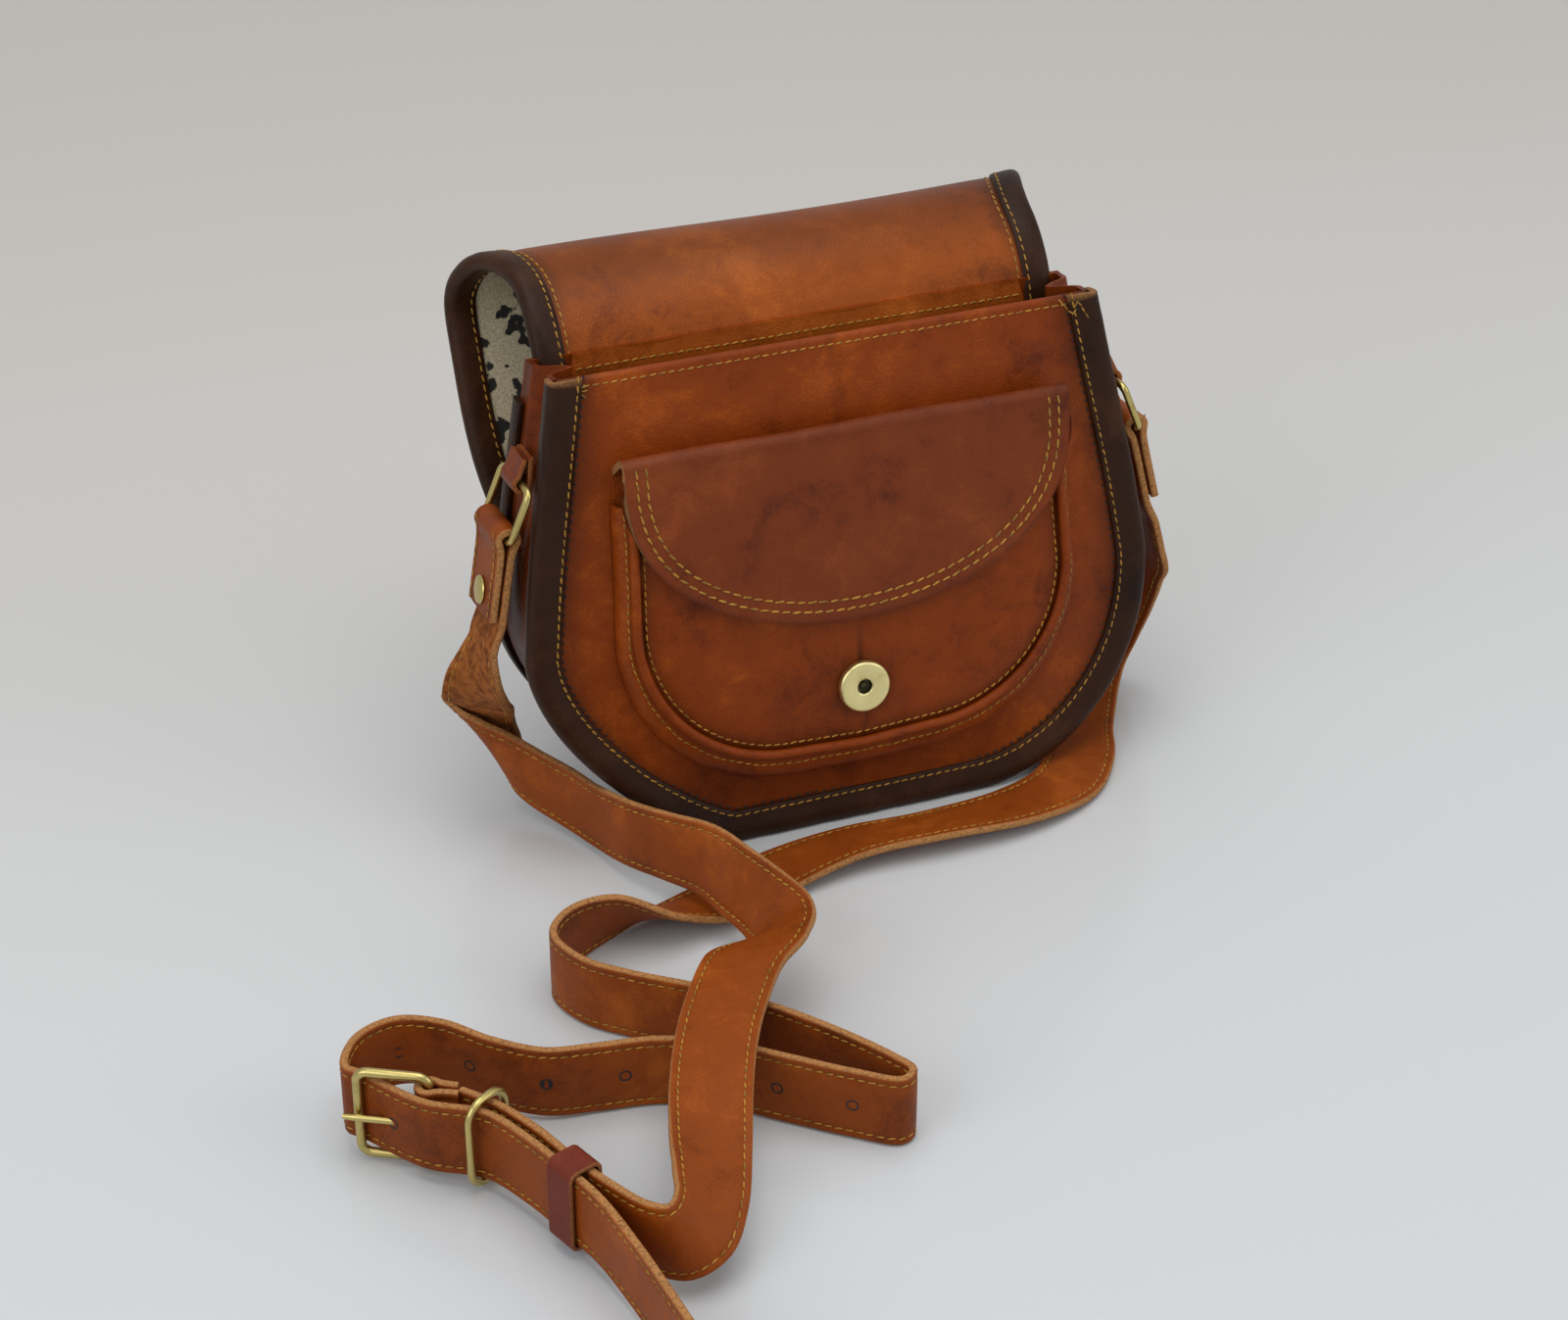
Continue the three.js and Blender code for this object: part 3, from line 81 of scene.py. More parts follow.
# centre of the strap and the way to its upper edge, from the folded end on the left ring to the buckle
BUCKLE_ROUTE = np.array([
    [-120.753, 9.919, 75.832, 0, 0.993, -0.118],
    [-122.56, 8.882, 67.077, -0.25, 0.96, 0.1],
    [-123, 12, 58, -0.6, 0.78, 0.2],
    [-121.5, 18, 49, -0.84, 0.5, 0.2],
    [-119.5, 25, 41.5, -0.86, 0.38, 0.34],
    [-117.5, 29.5, 35, -0.78, 0.24, 0.56],
    [-117, 28.5, 29, -0.64, 0.05, 0.75],
    [-115.5, 23.5, 24.5, -0.42, 0, 0.9],
    [-111.5, 18.5, 21.8, -0.22, 0, 0.97],
    [-103.5, 9, 17.7, -0.06, 0, 1],
    [-96.5, -2.5, 16, 0, 0, 1],
    [-91, -15.5, 15.5, 0, 0, 1],
    [-85, -32.5, 18, 0.05, 0, 1],
    [-76.5, -46.5, 19.7, 0.14, 0, 0.99],
    [-68.5, -60, 21.5, 0.3, 0, 0.95],
    [-64, -77, 22.5, 0.42, 0, 0.9],
    [-60, -94, 23.2, 0.56, -0.05, 0.83],
    [-60, -107, 25, 0.8, -0.12, 0.58],
    [-68.5, -117, 28.2, 0.94, -0.26, 0.22],
    [-80, -127.5, 30.2, 0.92, -0.38, 0.06],
    [-90.5, -142, 30.3, 0.93, -0.36, 0],
    [-101, -160, 29.8, 0.95, -0.31, 0],
    [-110.5, -181, 28.4, 0.95, -0.28, -0.1],
    [-118, -201, 25.8, 0.86, -0.4, -0.3],
    [-124.5, -218, 22.8, 0.66, -0.5, -0.55],
    [-131, -228.5, 20.2, 0.42, -0.45, -0.79],
    [-138, -231, 18.6, 0.18, -0.25, -0.95],
    [-145, -225, 17.7, 0.03, -0.05, -1],
    [-151.5, -213.5, 17.5, 0, 0, -1],
    [-158, -199, 17.5, 0, 0, -1],
    [-164, -182, 17.5, 0, 0, -1],
    [-172, -166, 17.5, 0, 0, -1],
    [-179.73, -156.28, 17.5, 0, 0, -1],
])
# the same from the folded end on the right ring, along the floor, through buckle, ring and keeper to the tip
PUNCHED_ROUTE = np.array([
    [120.753, 9.919, 75.832, 0, -0.993, 0.118],
    [122.76, 8.767, 66.105, 0, -1, 0.1],
    [123, 17, 51, 0.25, -0.96, 0.08],
    [122, 24, 36, 0.48, -0.87, 0.04],
    [119, 29, 21, 0.68, -0.73, 0],
    [114.5, 29.5, 9.5, 0.8, -0.6, 0],
    [108.5, 22.5, 3.6, 0.84, -0.54, 0],
    [101, 10, 2.2, 0.85, -0.52, 0],
    [93, -4.5, 2.2, 0.85, -0.52, 0],
    [86, -20, 2.2, 0.8, -0.6, 0],
    [73.5, -35, 2.2, 0.6, -0.8, 0.01],
    [51, -44.5, 4, 0.3, -0.94, 0.12],
    [18, -47, 5.4, 0, -0.95, 0.25],
    [-10, -46, 5.0, 0, -0.96, 0.22],
    [-36, -50, 3.6, 0.1, -0.98, 0.1],
    [-62, -60, 3.4, 0.25, -0.95, 0.05],
    [-84, -66, 7.4, 0.15, -0.85, 0.42],
    [-104, -68, 12.6, 0, -0.4, 0.92],
    [-120, -74, 12.9, 0, -0.1, 1],
    [-129, -86, 12.9, 0, 0, 1],
    [-124.5, -102, 12.9, 0, 0, 1],
    [-113, -114, 12.9, 0, 0, 1],
    [-97, -127, 12.9, 0, 0, 1],
    [-80, -143, 12.9, 0, 0, 1],
    [-65, -162, 12.9, 0, 0, 1],
    [-52.5, -182, 12.9, 0, 0, 1],
    [-49.5, -189.5, 12.9, 0, 0, 1],
    [-54, -193, 12.9, 0, 0, 1],
    [-67, -184, 12.9, 0, 0, 1],
    [-82, -171, 12.9, 0, 0, 1],
    [-98, -157.5, 12.9, 0, 0, 1],
    [-116, -148.5, 12.9, 0, 0, 1],
    [-134, -145.5, 13.2, 0, 0, 1],
    [-150, -143, 14, 0, 0, 1],
    [-164, -134, 15.5, 0, 0, 1],
    [-176, -122, 16.8, 0, 0, 1],
    [-189, -116.5, 17.5, 0, 0, 1],
    [-202, -121, 17.5, 0, 0, 1],
    [-208.77, -133.5, 17.5, 0, 0, 1],
    [-205.41, -137.71, 17.5, 0, 0, 1],
    [-191.6, -157.95, 17.5, 0, 0, 1],
    [-176.2, -169, 17.5, 0, 0, 1],
    [-168, -184.5, 17.5, 0, 0, 1],
    [-162, -201, 17.5, 0, 0, 1],
    [-157, -216, 17.2, 0, 0, 1],
    [-153, -236, 15.5, 0, 0, 1],
    [-149.5, -262, 13.5, 0, 0, 1],
    [-147.5, -284, 13, 0, 0, 1],
])


def unit(vectors):
    """Each vector divided by its length."""
    vectors = np.asarray(vectors, float)
    return vectors / np.maximum(np.linalg.norm(vectors, axis=-1, keepdims=True), 1e-9)


def smooth(value, low, high):
    """0 up to low, 1 from high on, and the cubic 3t^2 - 2t^3 between them."""
    t = np.clip((np.asarray(value, float) - low) / (high - low), 0, 1)
    return t * t * (3 - 2 * t)


def run_of(line):
    """The distance along a line to each of its points."""
    return np.concatenate([[0], np.cumsum(np.linalg.norm(np.diff(line, axis=0), axis=1))])


def spaced(line, step=None, count=None):
    """The same line with points at equal distances along it: the step nearest to the one asked for, or a
    count of points."""
    line = np.asarray(line, float)
    run = run_of(line[:, :3])
    count = count or max(int(round(run[-1] / step)), 1) + 1
    at = np.linspace(0, run[-1], count)
    return np.column_stack([np.interp(at, run, line[:, k]) for k in range(line.shape[1])])


def strap_run(route, step):
    """Centre, edge way and grain side of a strap. The centre is a centripetal Catmull-Rom curve through the
    stations: the knots lie apart by the square root of each chord. The edge way is an even Catmull-Rom curve
    through the stations' ways. It may slant across the strap, as along a fold, and is then longer, so that
    the width square to the run stays. The grain side is tangent times way."""
    places = np.vstack([2 * route[0, :3] - route[1, :3], route[:, :3], 2 * route[-1, :3] - route[-2, :3]])
    knots = np.sqrt(np.linalg.norm(np.diff(places, axis=0), axis=1))[:, None]
    each = 40
    t = np.linspace(0, len(route) - 1, (len(route) - 1) * each + 1)
    k = np.minimum(t.astype(int), len(route) - 2)
    g = (t - k)[:, None]
    a, b, c, d = (places[k + i] for i in range(4))
    before, within, after = (knots[k + i] for i in range(3))
    leave = within * ((b - a) / before - (c - a) / (before + within) + (c - b) / within)
    arrive = within * ((c - b) / within - (d - b) / (within + after) + (d - c) / after)
    centre = b + leave * g + (3 * (c - b) - 2 * leave - arrive) * g**2 + (2 * (b - c) + leave + arrive) * g**3
    ways = unit(route[:, 3:])
    ways = np.vstack([ways[:1], ways, ways[-1:]])
    a, b, c, d = (ways[k + i] for i in range(4))
    way = b + 0.5 * g * (c - a + g * (2 * a - 5 * b + 4 * c - d + g * (3 * (b - c) + d - a)))
    run = spaced(np.column_stack([centre, way]), step)
    centre = run[:, :3]
    tangent = unit(np.gradient(centre, axis=0))
    square = run[:, 3:] - np.sum(run[:, 3:] * tangent, axis=1, keepdims=True) * tangent
    way = run[:, 3:] / np.linalg.norm(square, axis=1, keepdims=True)
    return centre, way, unit(np.cross(tangent, way))


def strap_section(width, thick, stitch_in=None):
    """Distances across and off the middle, once round a strap: a flat band with its four edges rounded, and
    on both faces a shallow valley where the stitches draw the leather down."""
    half = width / 2
    soft = 0.3 * thick
    valley_deep = 0.3
    valley_wide = 0.7
    across = np.array([1, 0.985, 0.95, 0.9, 0.86, 0.82, 0.79, 0.76, 0.72, 0.6, 0.35, 0.12])
    across = half - (1 - across) * min(STRAP_WIDTH / 2, half)
    across = np.concatenate([across, -across[::-1]])
    edge = np.clip((np.abs(across) - (half - soft)) / soft, 0, 1)
    off = thick / 2 - soft * (1 - np.sqrt(1 - edge**2)) * 0.9
    if stitch_in:
        off = off - valley_deep * np.exp(-(((half - np.abs(across) - stitch_in) / valley_wide) ** 2))
    return np.concatenate([across, across[::-1]]), np.concatenate([off, -off[::-1]])


def tube_faces(rows, columns, closed=False):
    """Quads of a tube of rows rings, each of columns points, and the two rings that close its ends."""
    i = np.arange(rows if closed else rows - 1)[:, None]
    j = np.arange(columns)[None, :]
    following = (i + 1) % rows
    right = (j + 1) % columns
    quads = np.stack(
        [i * columns + j, i * columns + right, following * columns + right, following * columns + j], axis=-1
    ).reshape(-1, 4)
    ends = [] if closed else [np.arange(columns)[::-1], (rows - 1) * columns + np.arange(columns)]
    return quads, ends


def joined(shapes):
    """Several shapes as one: the point numbers of each are counted on from the one before."""
    points, quads, ends, start = [], [], [], 0
    for shape_points, shape_quads, shape_ends in shapes:
        shape_points = np.asarray(shape_points, float).reshape(-1, 3)
        points.append(shape_points)
        quads.append(np.asarray(shape_quads) + start)
        ends.extend(np.asarray(end) + start for end in shape_ends)
        start += len(shape_points)
    return np.concatenate(points), np.concatenate(quads), ends


def piece(name, points, quads, ends, *materials, parts=None):
    """A mesh object at the origin from points in millimetres. All faces are turned over where the volume that
    they enclose, summed as tetrahedra from the middle, comes out negative. Parts picks the material of each
    face."""
    points = np.asarray(points, float).reshape(-1, 3)
    p = points - points.mean(axis=0)
    a, b, c, d = (p[quads[:, k]] for k in range(4))
    volume = np.sum(a * np.cross(b, c)) + np.sum(a * np.cross(c, d))
    for end in ends:
        ring = p[end]
        volume += np.sum(ring[0] * np.cross(ring[1:-1], ring[2:]))
    if volume < 0:
        quads = quads[:, ::-1]
        ends = [end[::-1] for end in ends]
    mesh = bpy.data.meshes.new(name)
    mesh.from_pydata((points / 1000).tolist(), [], quads.tolist() + [end.tolist() for end in ends])
    for material in materials:
        mesh.materials.append(material)
    if parts is not None:
        mesh.polygons.foreach_set("material_index", np.asarray(parts, np.int32))
    mesh.shade_smooth()
    mesh.set_sharp_from_angle(angle=math.radians(48))
    made = bpy.data.objects.new(name, mesh)
    bpy.context.scene.collection.objects.link(made)
    return made


def mark(made, name, values):
    """A number for each point of a piece, which its material reads."""
    layer = made.data.attributes.new(name, "FLOAT", "POINT")
    layer.data.foreach_set("value", np.asarray(values, np.float32).ravel())


def stitches(line, normal, pitch, length=2.3, wide=0.62, high=0.5, slant=7.0):
    """Thread along a line on a surface: at each pitch one small spindle of five six-sided rings, laid along
    the line, turned a few degrees about the normal and its length varied a little from stitch to stitch. The
    normal is one way for the whole line, or one for each of its points."""
    run = spaced(np.column_stack([line, np.broadcast_to(normal, line.shape)]), pitch)
    centre = run[:, :3]
    n = unit(run[:, 3:])
    t = unit(np.gradient(centre, axis=0))
    n = unit(n - np.sum(n * t, axis=1, keepdims=True) * t)
    b = np.cross(n, t)
    number = np.arange(len(centre))[:, None]
    lean = math.radians(slant) * (1 + 0.5 * np.sin(number * 2.399))
    along = t * np.cos(lean) + b * np.sin(lean)
    side = np.cross(n, along)
    place = np.array([-0.5, -0.38, 0.0, 0.38, 0.5])
    girth = np.array([0.3, 0.8, 1.0, 0.8, 0.3])
    sides = 6
    turn = np.arange(sides) * math.pi / 3
    reach = length * (1 + 0.08 * np.sin(number * 1.731))
    points = (
        centre[:, None, None]
        + along[:, None, None] * (reach[:, :, None] * place[None, :, None])[..., None]
        + side[:, None, None] * (wide / 2 * girth[:, None] * np.cos(turn))[None, :, :, None]
        + n[:, None, None] * (high / 2 * girth[:, None] * np.sin(turn) + 0.1 * high)[None, :, :, None]
    )
    quads, ends = tube_faces(len(place), sides)
    starts = len(place) * sides * np.arange(len(centre))
    all_quads = (quads[None] + starts[:, None, None]).reshape(-1, 4)
    all_ends = [end + start for start in starts for end in ends]
    return points.reshape(-1, 3), all_quads, all_ends


def ink(colour):
    """A colour written as screen values 0 to 255, as the linear numbers that a shader takes."""
    c = np.asarray(colour, float) / 255
    linear = np.where(c <= 0.04045, c / 12.92, ((c + 0.055) / 1.055) ** 2.4)
    return (*linear.tolist(), 1.0)


def plug(tree, socket, value):
    """A socket linked to another one, or set to a value."""
    if isinstance(value, bpy.types.NodeSocket):
        tree.links.new(value, socket)
    else:
        socket.default_value = value


def plug_all(tree, node, **sockets):
    """A node's sockets by name, each linked or set; an underscore stands for a space."""
    for key, value in sockets.items():
        plug(tree, node.inputs[key.replace("_", " ")], value)


def add_node(tree, kind, settings=None, **sockets):
    """One new node with its settings and its sockets."""
    node = tree.nodes.new(kind)
    for key, value in (settings or {}).items():
        setattr(node, key, value)
    plug_all(tree, node, **sockets)
    return node


def reckon(tree, operation, *values):
    """One arithmetic node on two or three values or sockets."""
    node = add_node(tree, "ShaderNodeMath", {"operation": operation})
    for socket, value in zip(node.inputs, values):
        plug(tree, socket, value)
    return node.outputs[0]


def tint(tree, amount, first, second):
    """The first colour, turned into the second by the amount."""
    node = add_node(tree, "ShaderNodeMix", {"data_type": "RGBA"})
    for socket, value in zip((node.inputs[0], node.inputs[6], node.inputs[7]), (amount, first, second)):
        plug(tree, socket, value)
    return node.outputs[2]


def ramp(tree, value, *stops):
    """Colours at places from 0 to 1, eased between them."""
    node = tree.nodes.new("ShaderNodeValToRGB")
    node.color_ramp.interpolation = "EASE"
    while len(node.color_ramp.elements) < len(stops):
        node.color_ramp.elements.new(0.5)
    for element, (place, colour) in zip(node.color_ramp.elements, stops):
        element.position = place
        element.color = colour
    tree.links.new(value, node.inputs[0])
    return node.outputs["Color"]


def noted(tree, name):
    """A number that was marked on the piece's points."""
    return add_node(tree, "ShaderNodeAttribute", {"attribute_name": name}).outputs["Fac"]


def new_material(name):
    """A new node material, with its tree, its shader and the piece's own coordinates."""
    material = bpy.data.materials.new(name)
    material.use_nodes = True
    tree = material.node_tree
    place = add_node(tree, "ShaderNodeTexCoord").outputs["Object"]
    return material, tree, tree.nodes["Principled BSDF"], place


def leather(name, lit, mid, dark, gloss, grain=1.0):
    """Vegetable-tanned leather: cloudy tone at 45, 9 and 1 mm, pebbled grain of about 1 mm with fine pores,
    and long faint creases. A mark of painted shade darkens it by seams, in creases and folds, low down and on
    the top of the flap's roll; the marks raw and flesh bare its cut edge and rough its back."""
    material, tree, shader, place = new_material(name)
    noise = "ShaderNodeTexNoise"
    cloud = add_node(tree, noise, Vector=place, Scale=22, Detail=3, Roughness=0.55, Distortion=0.5)
    patch = add_node(tree, noise, Vector=place, Scale=115, Detail=6, Roughness=0.62, Distortion=0.7)
    speck = add_node(tree, noise, Vector=place, Scale=1100, Detail=3, Roughness=0.6)
    tone = reckon(tree, "MULTIPLY", cloud.outputs[0], 0.46)
    tone = reckon(tree, "MULTIPLY_ADD", patch.outputs[0], 0.24, tone)
    tone = reckon(tree, "MULTIPLY_ADD", speck.outputs[0], 0.14, tone)
    tone = reckon(tree, "ADD", tone, 0.08)
    colour = ramp(tree, tone, (0.36, ink(dark)), (0.5, ink(mid)), (0.64, ink(lit)))
    crease = add_node(
        tree, noise, {"noise_type": "RIDGED_MULTIFRACTAL"}, Vector=place, Scale=48, Detail=3, Roughness=0.5,
        Lacunarity=2.3, Distortion=0.3,
    )
    line = ramp(tree, crease.outputs[0], (0.72, (0, 0, 0, 1)), (0.95, (1, 1, 1, 1)))
    colour = tint(tree, reckon(tree, "MULTIPLY", line, 0.16), colour, ink([0.6 * c for c in dark]))
    # painted shade: darker where the piece's points are marked as shaded, standing in for shade by seams and
    # in folds
    colour = tint(tree, noted(tree, "painted_shade"), colour, ink([0.5 * c for c in dark]))
    flesh = noted(tree, "flesh")
    nap = add_node(tree, noise, Vector=place, Scale=260, Detail=8, Roughness=0.72)
    suede = ramp(tree, nap.outputs[0], (0.36, ink(SUEDE_DARK)), (0.62, ink(SUEDE_LIT)))
    colour = tint(tree, flesh, colour, suede)
    raw = noted(tree, "raw")
    fibre = ramp(tree, speck.outputs[0], (0.3, ink([0.72 * c for c in RAW_EDGE])), (0.6, ink(RAW_EDGE)))
    colour = tint(tree, raw, colour, fibre)
    rough = reckon(tree, "MULTIPLY_ADD", patch.outputs[0], 0.3, gloss - 0.13)
    rough = reckon(tree, "MULTIPLY_ADD", reckon(tree, "MAXIMUM", flesh, raw), 0.38, rough)
    rough = reckon(tree, "MINIMUM", rough, 0.95)
    pebble = add_node(tree, "ShaderNodeTexVoronoi", Vector=place, Scale=1050, Randomness=1.0)
    pore = add_node(tree, noise, Vector=place, Scale=2600, Detail=2)
    height = reckon(tree, "MULTIPLY", pebble.outputs["Distance"], -0.42)
    height = reckon(tree, "MULTIPLY_ADD", pore.outputs[0], 0.3, height)
    height = reckon(tree, "MULTIPLY_ADD", line, -0.4, height)
    height = reckon(tree, "MULTIPLY_ADD", patch.outputs[0], 0.5, height)
    rug = reckon(tree, "MULTIPLY", nap.outputs[0], reckon(tree, "MULTIPLY", flesh, 2.4))
    height = reckon(tree, "ADD", height, rug)
    bump = add_node(tree, "ShaderNodeBump", Strength=0.34 * grain, Distance=0.0007, Height=height).outputs[0]
    plug_all(tree, shader, Base_Color=colour, Roughness=rough, Normal=bump, Specular_IOR_Level=0.15)
    return material


def waxed_thread(name, colour):
    """Twisted linen thread: its strands show as fine bands, and its dye is a little uneven."""
    material, tree, shader, place = new_material(name)
    dye = add_node(tree, "ShaderNodeTexNoise", Vector=place, Scale=420, Detail=3)
    shade = ramp(tree, dye.outputs[0], (0.32, ink([0.68 * c for c in colour])), (0.62, ink(colour)))
    twist = add_node(
        tree, "ShaderNodeTexWave", {"bands_direction": "DIAGONAL"}, Vector=place, Scale=900, Distortion=1.5
    )
    bump = add_node(tree, "ShaderNodeBump", Strength=0.4, Distance=0.0002, Height=twist.outputs["Fac"])
    plug_all(tree, shader, Base_Color=shade, Roughness=0.62, Normal=bump.outputs[0])
    return material


tan_leather = leather("tan_strap_leather", TAN_LIT, TAN_MID, TAN_DARK, gloss=0.47, grain=0.8)
mustard_thread = waxed_thread("mustard_thread", THREAD)


def strap_ribbon(centre, way, grain, width, thick, stitch_in=None, taper=None):
    """A strap's section carried along its run. Taper scales the width at each place. With the points come how
    raw each is, 1 on the cut edges, and which face it is on, 1 on the grain and -1 on the flesh side."""
    across, off = strap_section(width, thick, stitch_in)
    scale = np.ones(len(centre)) if taper is None else taper
    points = (
        centre[:, None]
        + way[:, None] * (across[None, :] * scale[:, None])[..., None]
        + grain[:, None] * off[None, :, None]
    )
    raw = np.broadcast_to(smooth(np.abs(across), width / 2 - 0.35, width / 2 - 0.1), points.shape[:2])
    face = np.broadcast_to(np.sign(off), points.shape[:2])
    quads, ends = tube_faces(len(centre), len(across))
    return points, quads, ends, raw, face


def strap_thread(centre, way, grain):
    """One row of stitches along each edge, on both faces."""
    rows = []
    for edge in (-1, 1):
        for face in (1, -1):
            line = centre + way * edge * (STRAP_WIDTH / 2 - STRAP_STITCH_IN)
            line = line + grain * face * (STRAP_THICK / 2 - THREAD_SUNK)
            rows.append(stitches(line[2:-2], grain[2:-2] * face, **STRAP_STITCH))
    return joined(rows)


centre, way, grain = strap_run(BUCKLE_ROUTE, STRAP_STEP)
shape, quads, ends, raw, face = strap_ribbon(centre, way, grain, STRAP_WIDTH, STRAP_THICK, STRAP_STITCH_IN)
buckle_strap = piece("buckle_strap_leather", shape, quads, ends, tan_leather)
mark(buckle_strap, "raw", raw)
mark(buckle_strap, "flesh", np.where(face < 0, 1.0, 0.0) * (1 - raw))
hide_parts("buckle_strap")
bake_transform(buckle_strap)
buckle_strap_thread = piece("buckle_strap_thread", *strap_thread(centre, way, grain), mustard_thread)
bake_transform(buckle_strap_thread)

# the second length ends in a round tip, and where the prong may go it has nine round holes in a row, each
# a dark disc on both faces: painted shade for the hole's depth, with a dark burnt edge round it
TIP_ROUND = 11.0
THREAD_SHORT = 8
HOLE_COUNT = 9
HOLE_RADIUS = 1.7
HOLE_RIM = 0.35
HOLE_PITCH = 24.0
HOLE_FIRST = 150.0
HOLE_SHADE_AND_BURNT = (30, 16, 10)
centre, way, grain = strap_run(PUNCHED_ROUTE, STRAP_STEP)
run = run_of(centre)
past_tip = np.clip(run - run[-1] + TIP_ROUND, 0, None) / (TIP_ROUND + 0.2)
taper = np.sqrt(np.clip(1 - past_tip**2, 0.02, 1))
shape, quads, ends, raw, face = strap_ribbon(
    centre, way, grain, STRAP_WIDTH, STRAP_THICK, STRAP_STITCH_IN, taper
)
punched_strap = piece("punched_strap_leather", shape, quads, ends, tan_leather)
mark(punched_strap, "raw", np.maximum(raw, smooth(run, run[-1] - 1, run[-1])[:, None]))
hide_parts("punched_strap")
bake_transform(punched_strap)
sewn = slice(None, -THREAD_SHORT)
punched_strap_thread = piece(
    "punched_strap_thread", *strap_thread(centre[sewn], way[sewn], grain[sewn]), mustard_thread
)
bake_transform(punched_strap_thread)


def basis(axis):
    """Two ways square to an axis and to each other."""
    axis = unit(axis)
    other = np.array([0.0, 0.0, 1.0]) if abs(axis[2]) < 0.9 else np.array([1.0, 0.0, 0.0])
    first = unit(np.cross(other, axis))
    return first, np.cross(axis, first)


def turned(profile, middle, axis, count=40):
    """A profile of radius and height, turned round an axis through the middle."""
    profile = np.asarray(profile, float)
    first, second = basis(axis)
    a = np.linspace(0, 2 * math.pi, count, endpoint=False)
    spokes = first * np.cos(a)[:, None] + second * np.sin(a)[:, None]
    points = (
        np.asarray(middle, float)
        + profile[:, 0, None, None] * spokes[None]
        + profile[:, 1, None, None] * unit(axis)[None, None]
    )
    quads, ends = tube_faces(len(profile), count)
    return points.reshape(-1, 3), quads, ends


# painted shade: each hole is a dark disc laid on the face, its middle standing in for the shade in the hole
hole_shade_and_burnt_edge = waxed_thread("painted_hole_shade_burnt_rim", HOLE_SHADE_AND_BURNT)
hole_profile = [
    (0.02, 0), (1.35, 0), (HOLE_RADIUS, 0.12), (HOLE_RADIUS + HOLE_RIM, 0.05), (HOLE_RADIUS + HOLE_RIM, -0.5)
]
hole_rows = []
for number in range(HOLE_COUNT):
    k = int(np.searchsorted(run, run[-1] - HOLE_FIRST - number * HOLE_PITCH))
    for face_way in (grain[k], -grain[k]):
        hole_rows.append(turned(hole_profile, centre[k] + face_way * (STRAP_THICK / 2 - 0.02), face_way, 16))
strap_holes = piece("punched_strap_holes", *joined(hole_rows), hole_shade_and_burnt_edge)
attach(strap_holes, "bag")

# Buckle frame: one bent brass wire loop that stands on edge on the floor, the strap passing through it.
# Brushed brass, a little tarnished in soft clouds.
BRASS = (196, 178, 112)
BRASS_DULL = (150, 128, 72)
BUCKLE_WIRE = 1.5
BUCKLE_LENGTH = 22.0
BUCKLE_HALF = 15.0
BUCKLE_CORNER = 3.4
HEEL = np.array([-188.0, -151.6, 17.5])
BUCKLE_WAY = unit([0.87, -0.493, 0])
BUCKLE_NEAR = np.array([BUCKLE_WAY[1], -BUCKLE_WAY[0], 0])
UP = np.array([0.0, 0.0, 1.0])


def metal(name, bright, dull, rough=0.3):
    """Brushed brass: tarnish in soft clouds, fine scratches, and rings round a turned face where it is marked
    with its radius."""
    material, tree, shader, place = new_material(name)
    cloud = add_node(tree, "ShaderNodeTexNoise", Vector=place, Scale=90, Detail=5, Roughness=0.6)
    colour = ramp(tree, cloud.outputs[0], (0.24, ink(dull)), (0.44, ink(bright)))
    shine = reckon(tree, "MULTIPLY_ADD", cloud.outputs[0], 0.22, rough - 0.1)
    ring = reckon(tree, "MULTIPLY", noted(tree, "radius"), 9.0)
    turning = add_node(tree, "ShaderNodeTexNoise", {"noise_dimensions": "1D"}, W=ring, Scale=1, Detail=2)
    scratch = add_node(tree, "ShaderNodeTexNoise", Vector=place, Scale=3000, Detail=1)
    height = reckon(tree, "MULTIPLY_ADD", scratch.outputs[0], 0.25, turning.outputs[0])
    bump = add_node(tree, "ShaderNodeBump", Strength=0.3, Distance=0.00012, Height=height)
    plug_all(tree, shader, Base_Color=colour, Metallic=1.0, Roughness=shine, Normal=bump.outputs[0])
    return material


brushed_brass = metal("brushed_brass", BRASS, BRASS_DULL)


def round_rectangle(low, high, half, corner):
    """Once round a rectangle with round corners, as four quarter arcs, with the outward way at each point."""
    quarter = np.linspace(0, math.pi / 2, 8)
    corners = [(high - corner, half - corner), (low + corner, half - corner)]
    corners += [(low + corner, corner - half), (high - corner, corner - half)]
    turns = [quarter + k * math.pi / 2 for k in range(4)]
    return np.concatenate([
        np.column_stack([x + corner * np.cos(a), y + corner * np.sin(a), np.cos(a), np.sin(a)])
        for (x, y), a in zip(corners, turns)
    ])


def wire_loop(low, high, half, corner, radius, along, up, middle, sides=16):
    """A round wire bent to a rectangle with round corners: a circle carried round it."""
    path = round_rectangle(low, high, half, corner)
    along, up, middle = (np.asarray(v, float) for v in (along, up, middle))
    out = np.cross(along, up)
    a = np.linspace(0, 2 * math.pi, sides, endpoint=False)
    reach = radius * np.cos(a)
    points = (
        middle
        + along * (path[:, 0, None] + path[:, 2, None] * reach)[..., None]
        + up * (path[:, 1, None] + path[:, 3, None] * reach)[..., None]
        + out * (radius * np.sin(a))[None, :, None]
    )
    quads, ends = tube_faces(len(path), sides, closed=True)
    return points.reshape(-1, 3), quads, ends


buckle_frame = piece(
    "buckle_frame_wire",
    *wire_loop(-BUCKLE_LENGTH, 0, BUCKLE_HALF, BUCKLE_CORNER, BUCKLE_WIRE, BUCKLE_WAY, UP, HEEL),
    brushed_brass,
)
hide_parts("buckle_frame")
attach(buckle_frame, "bag")

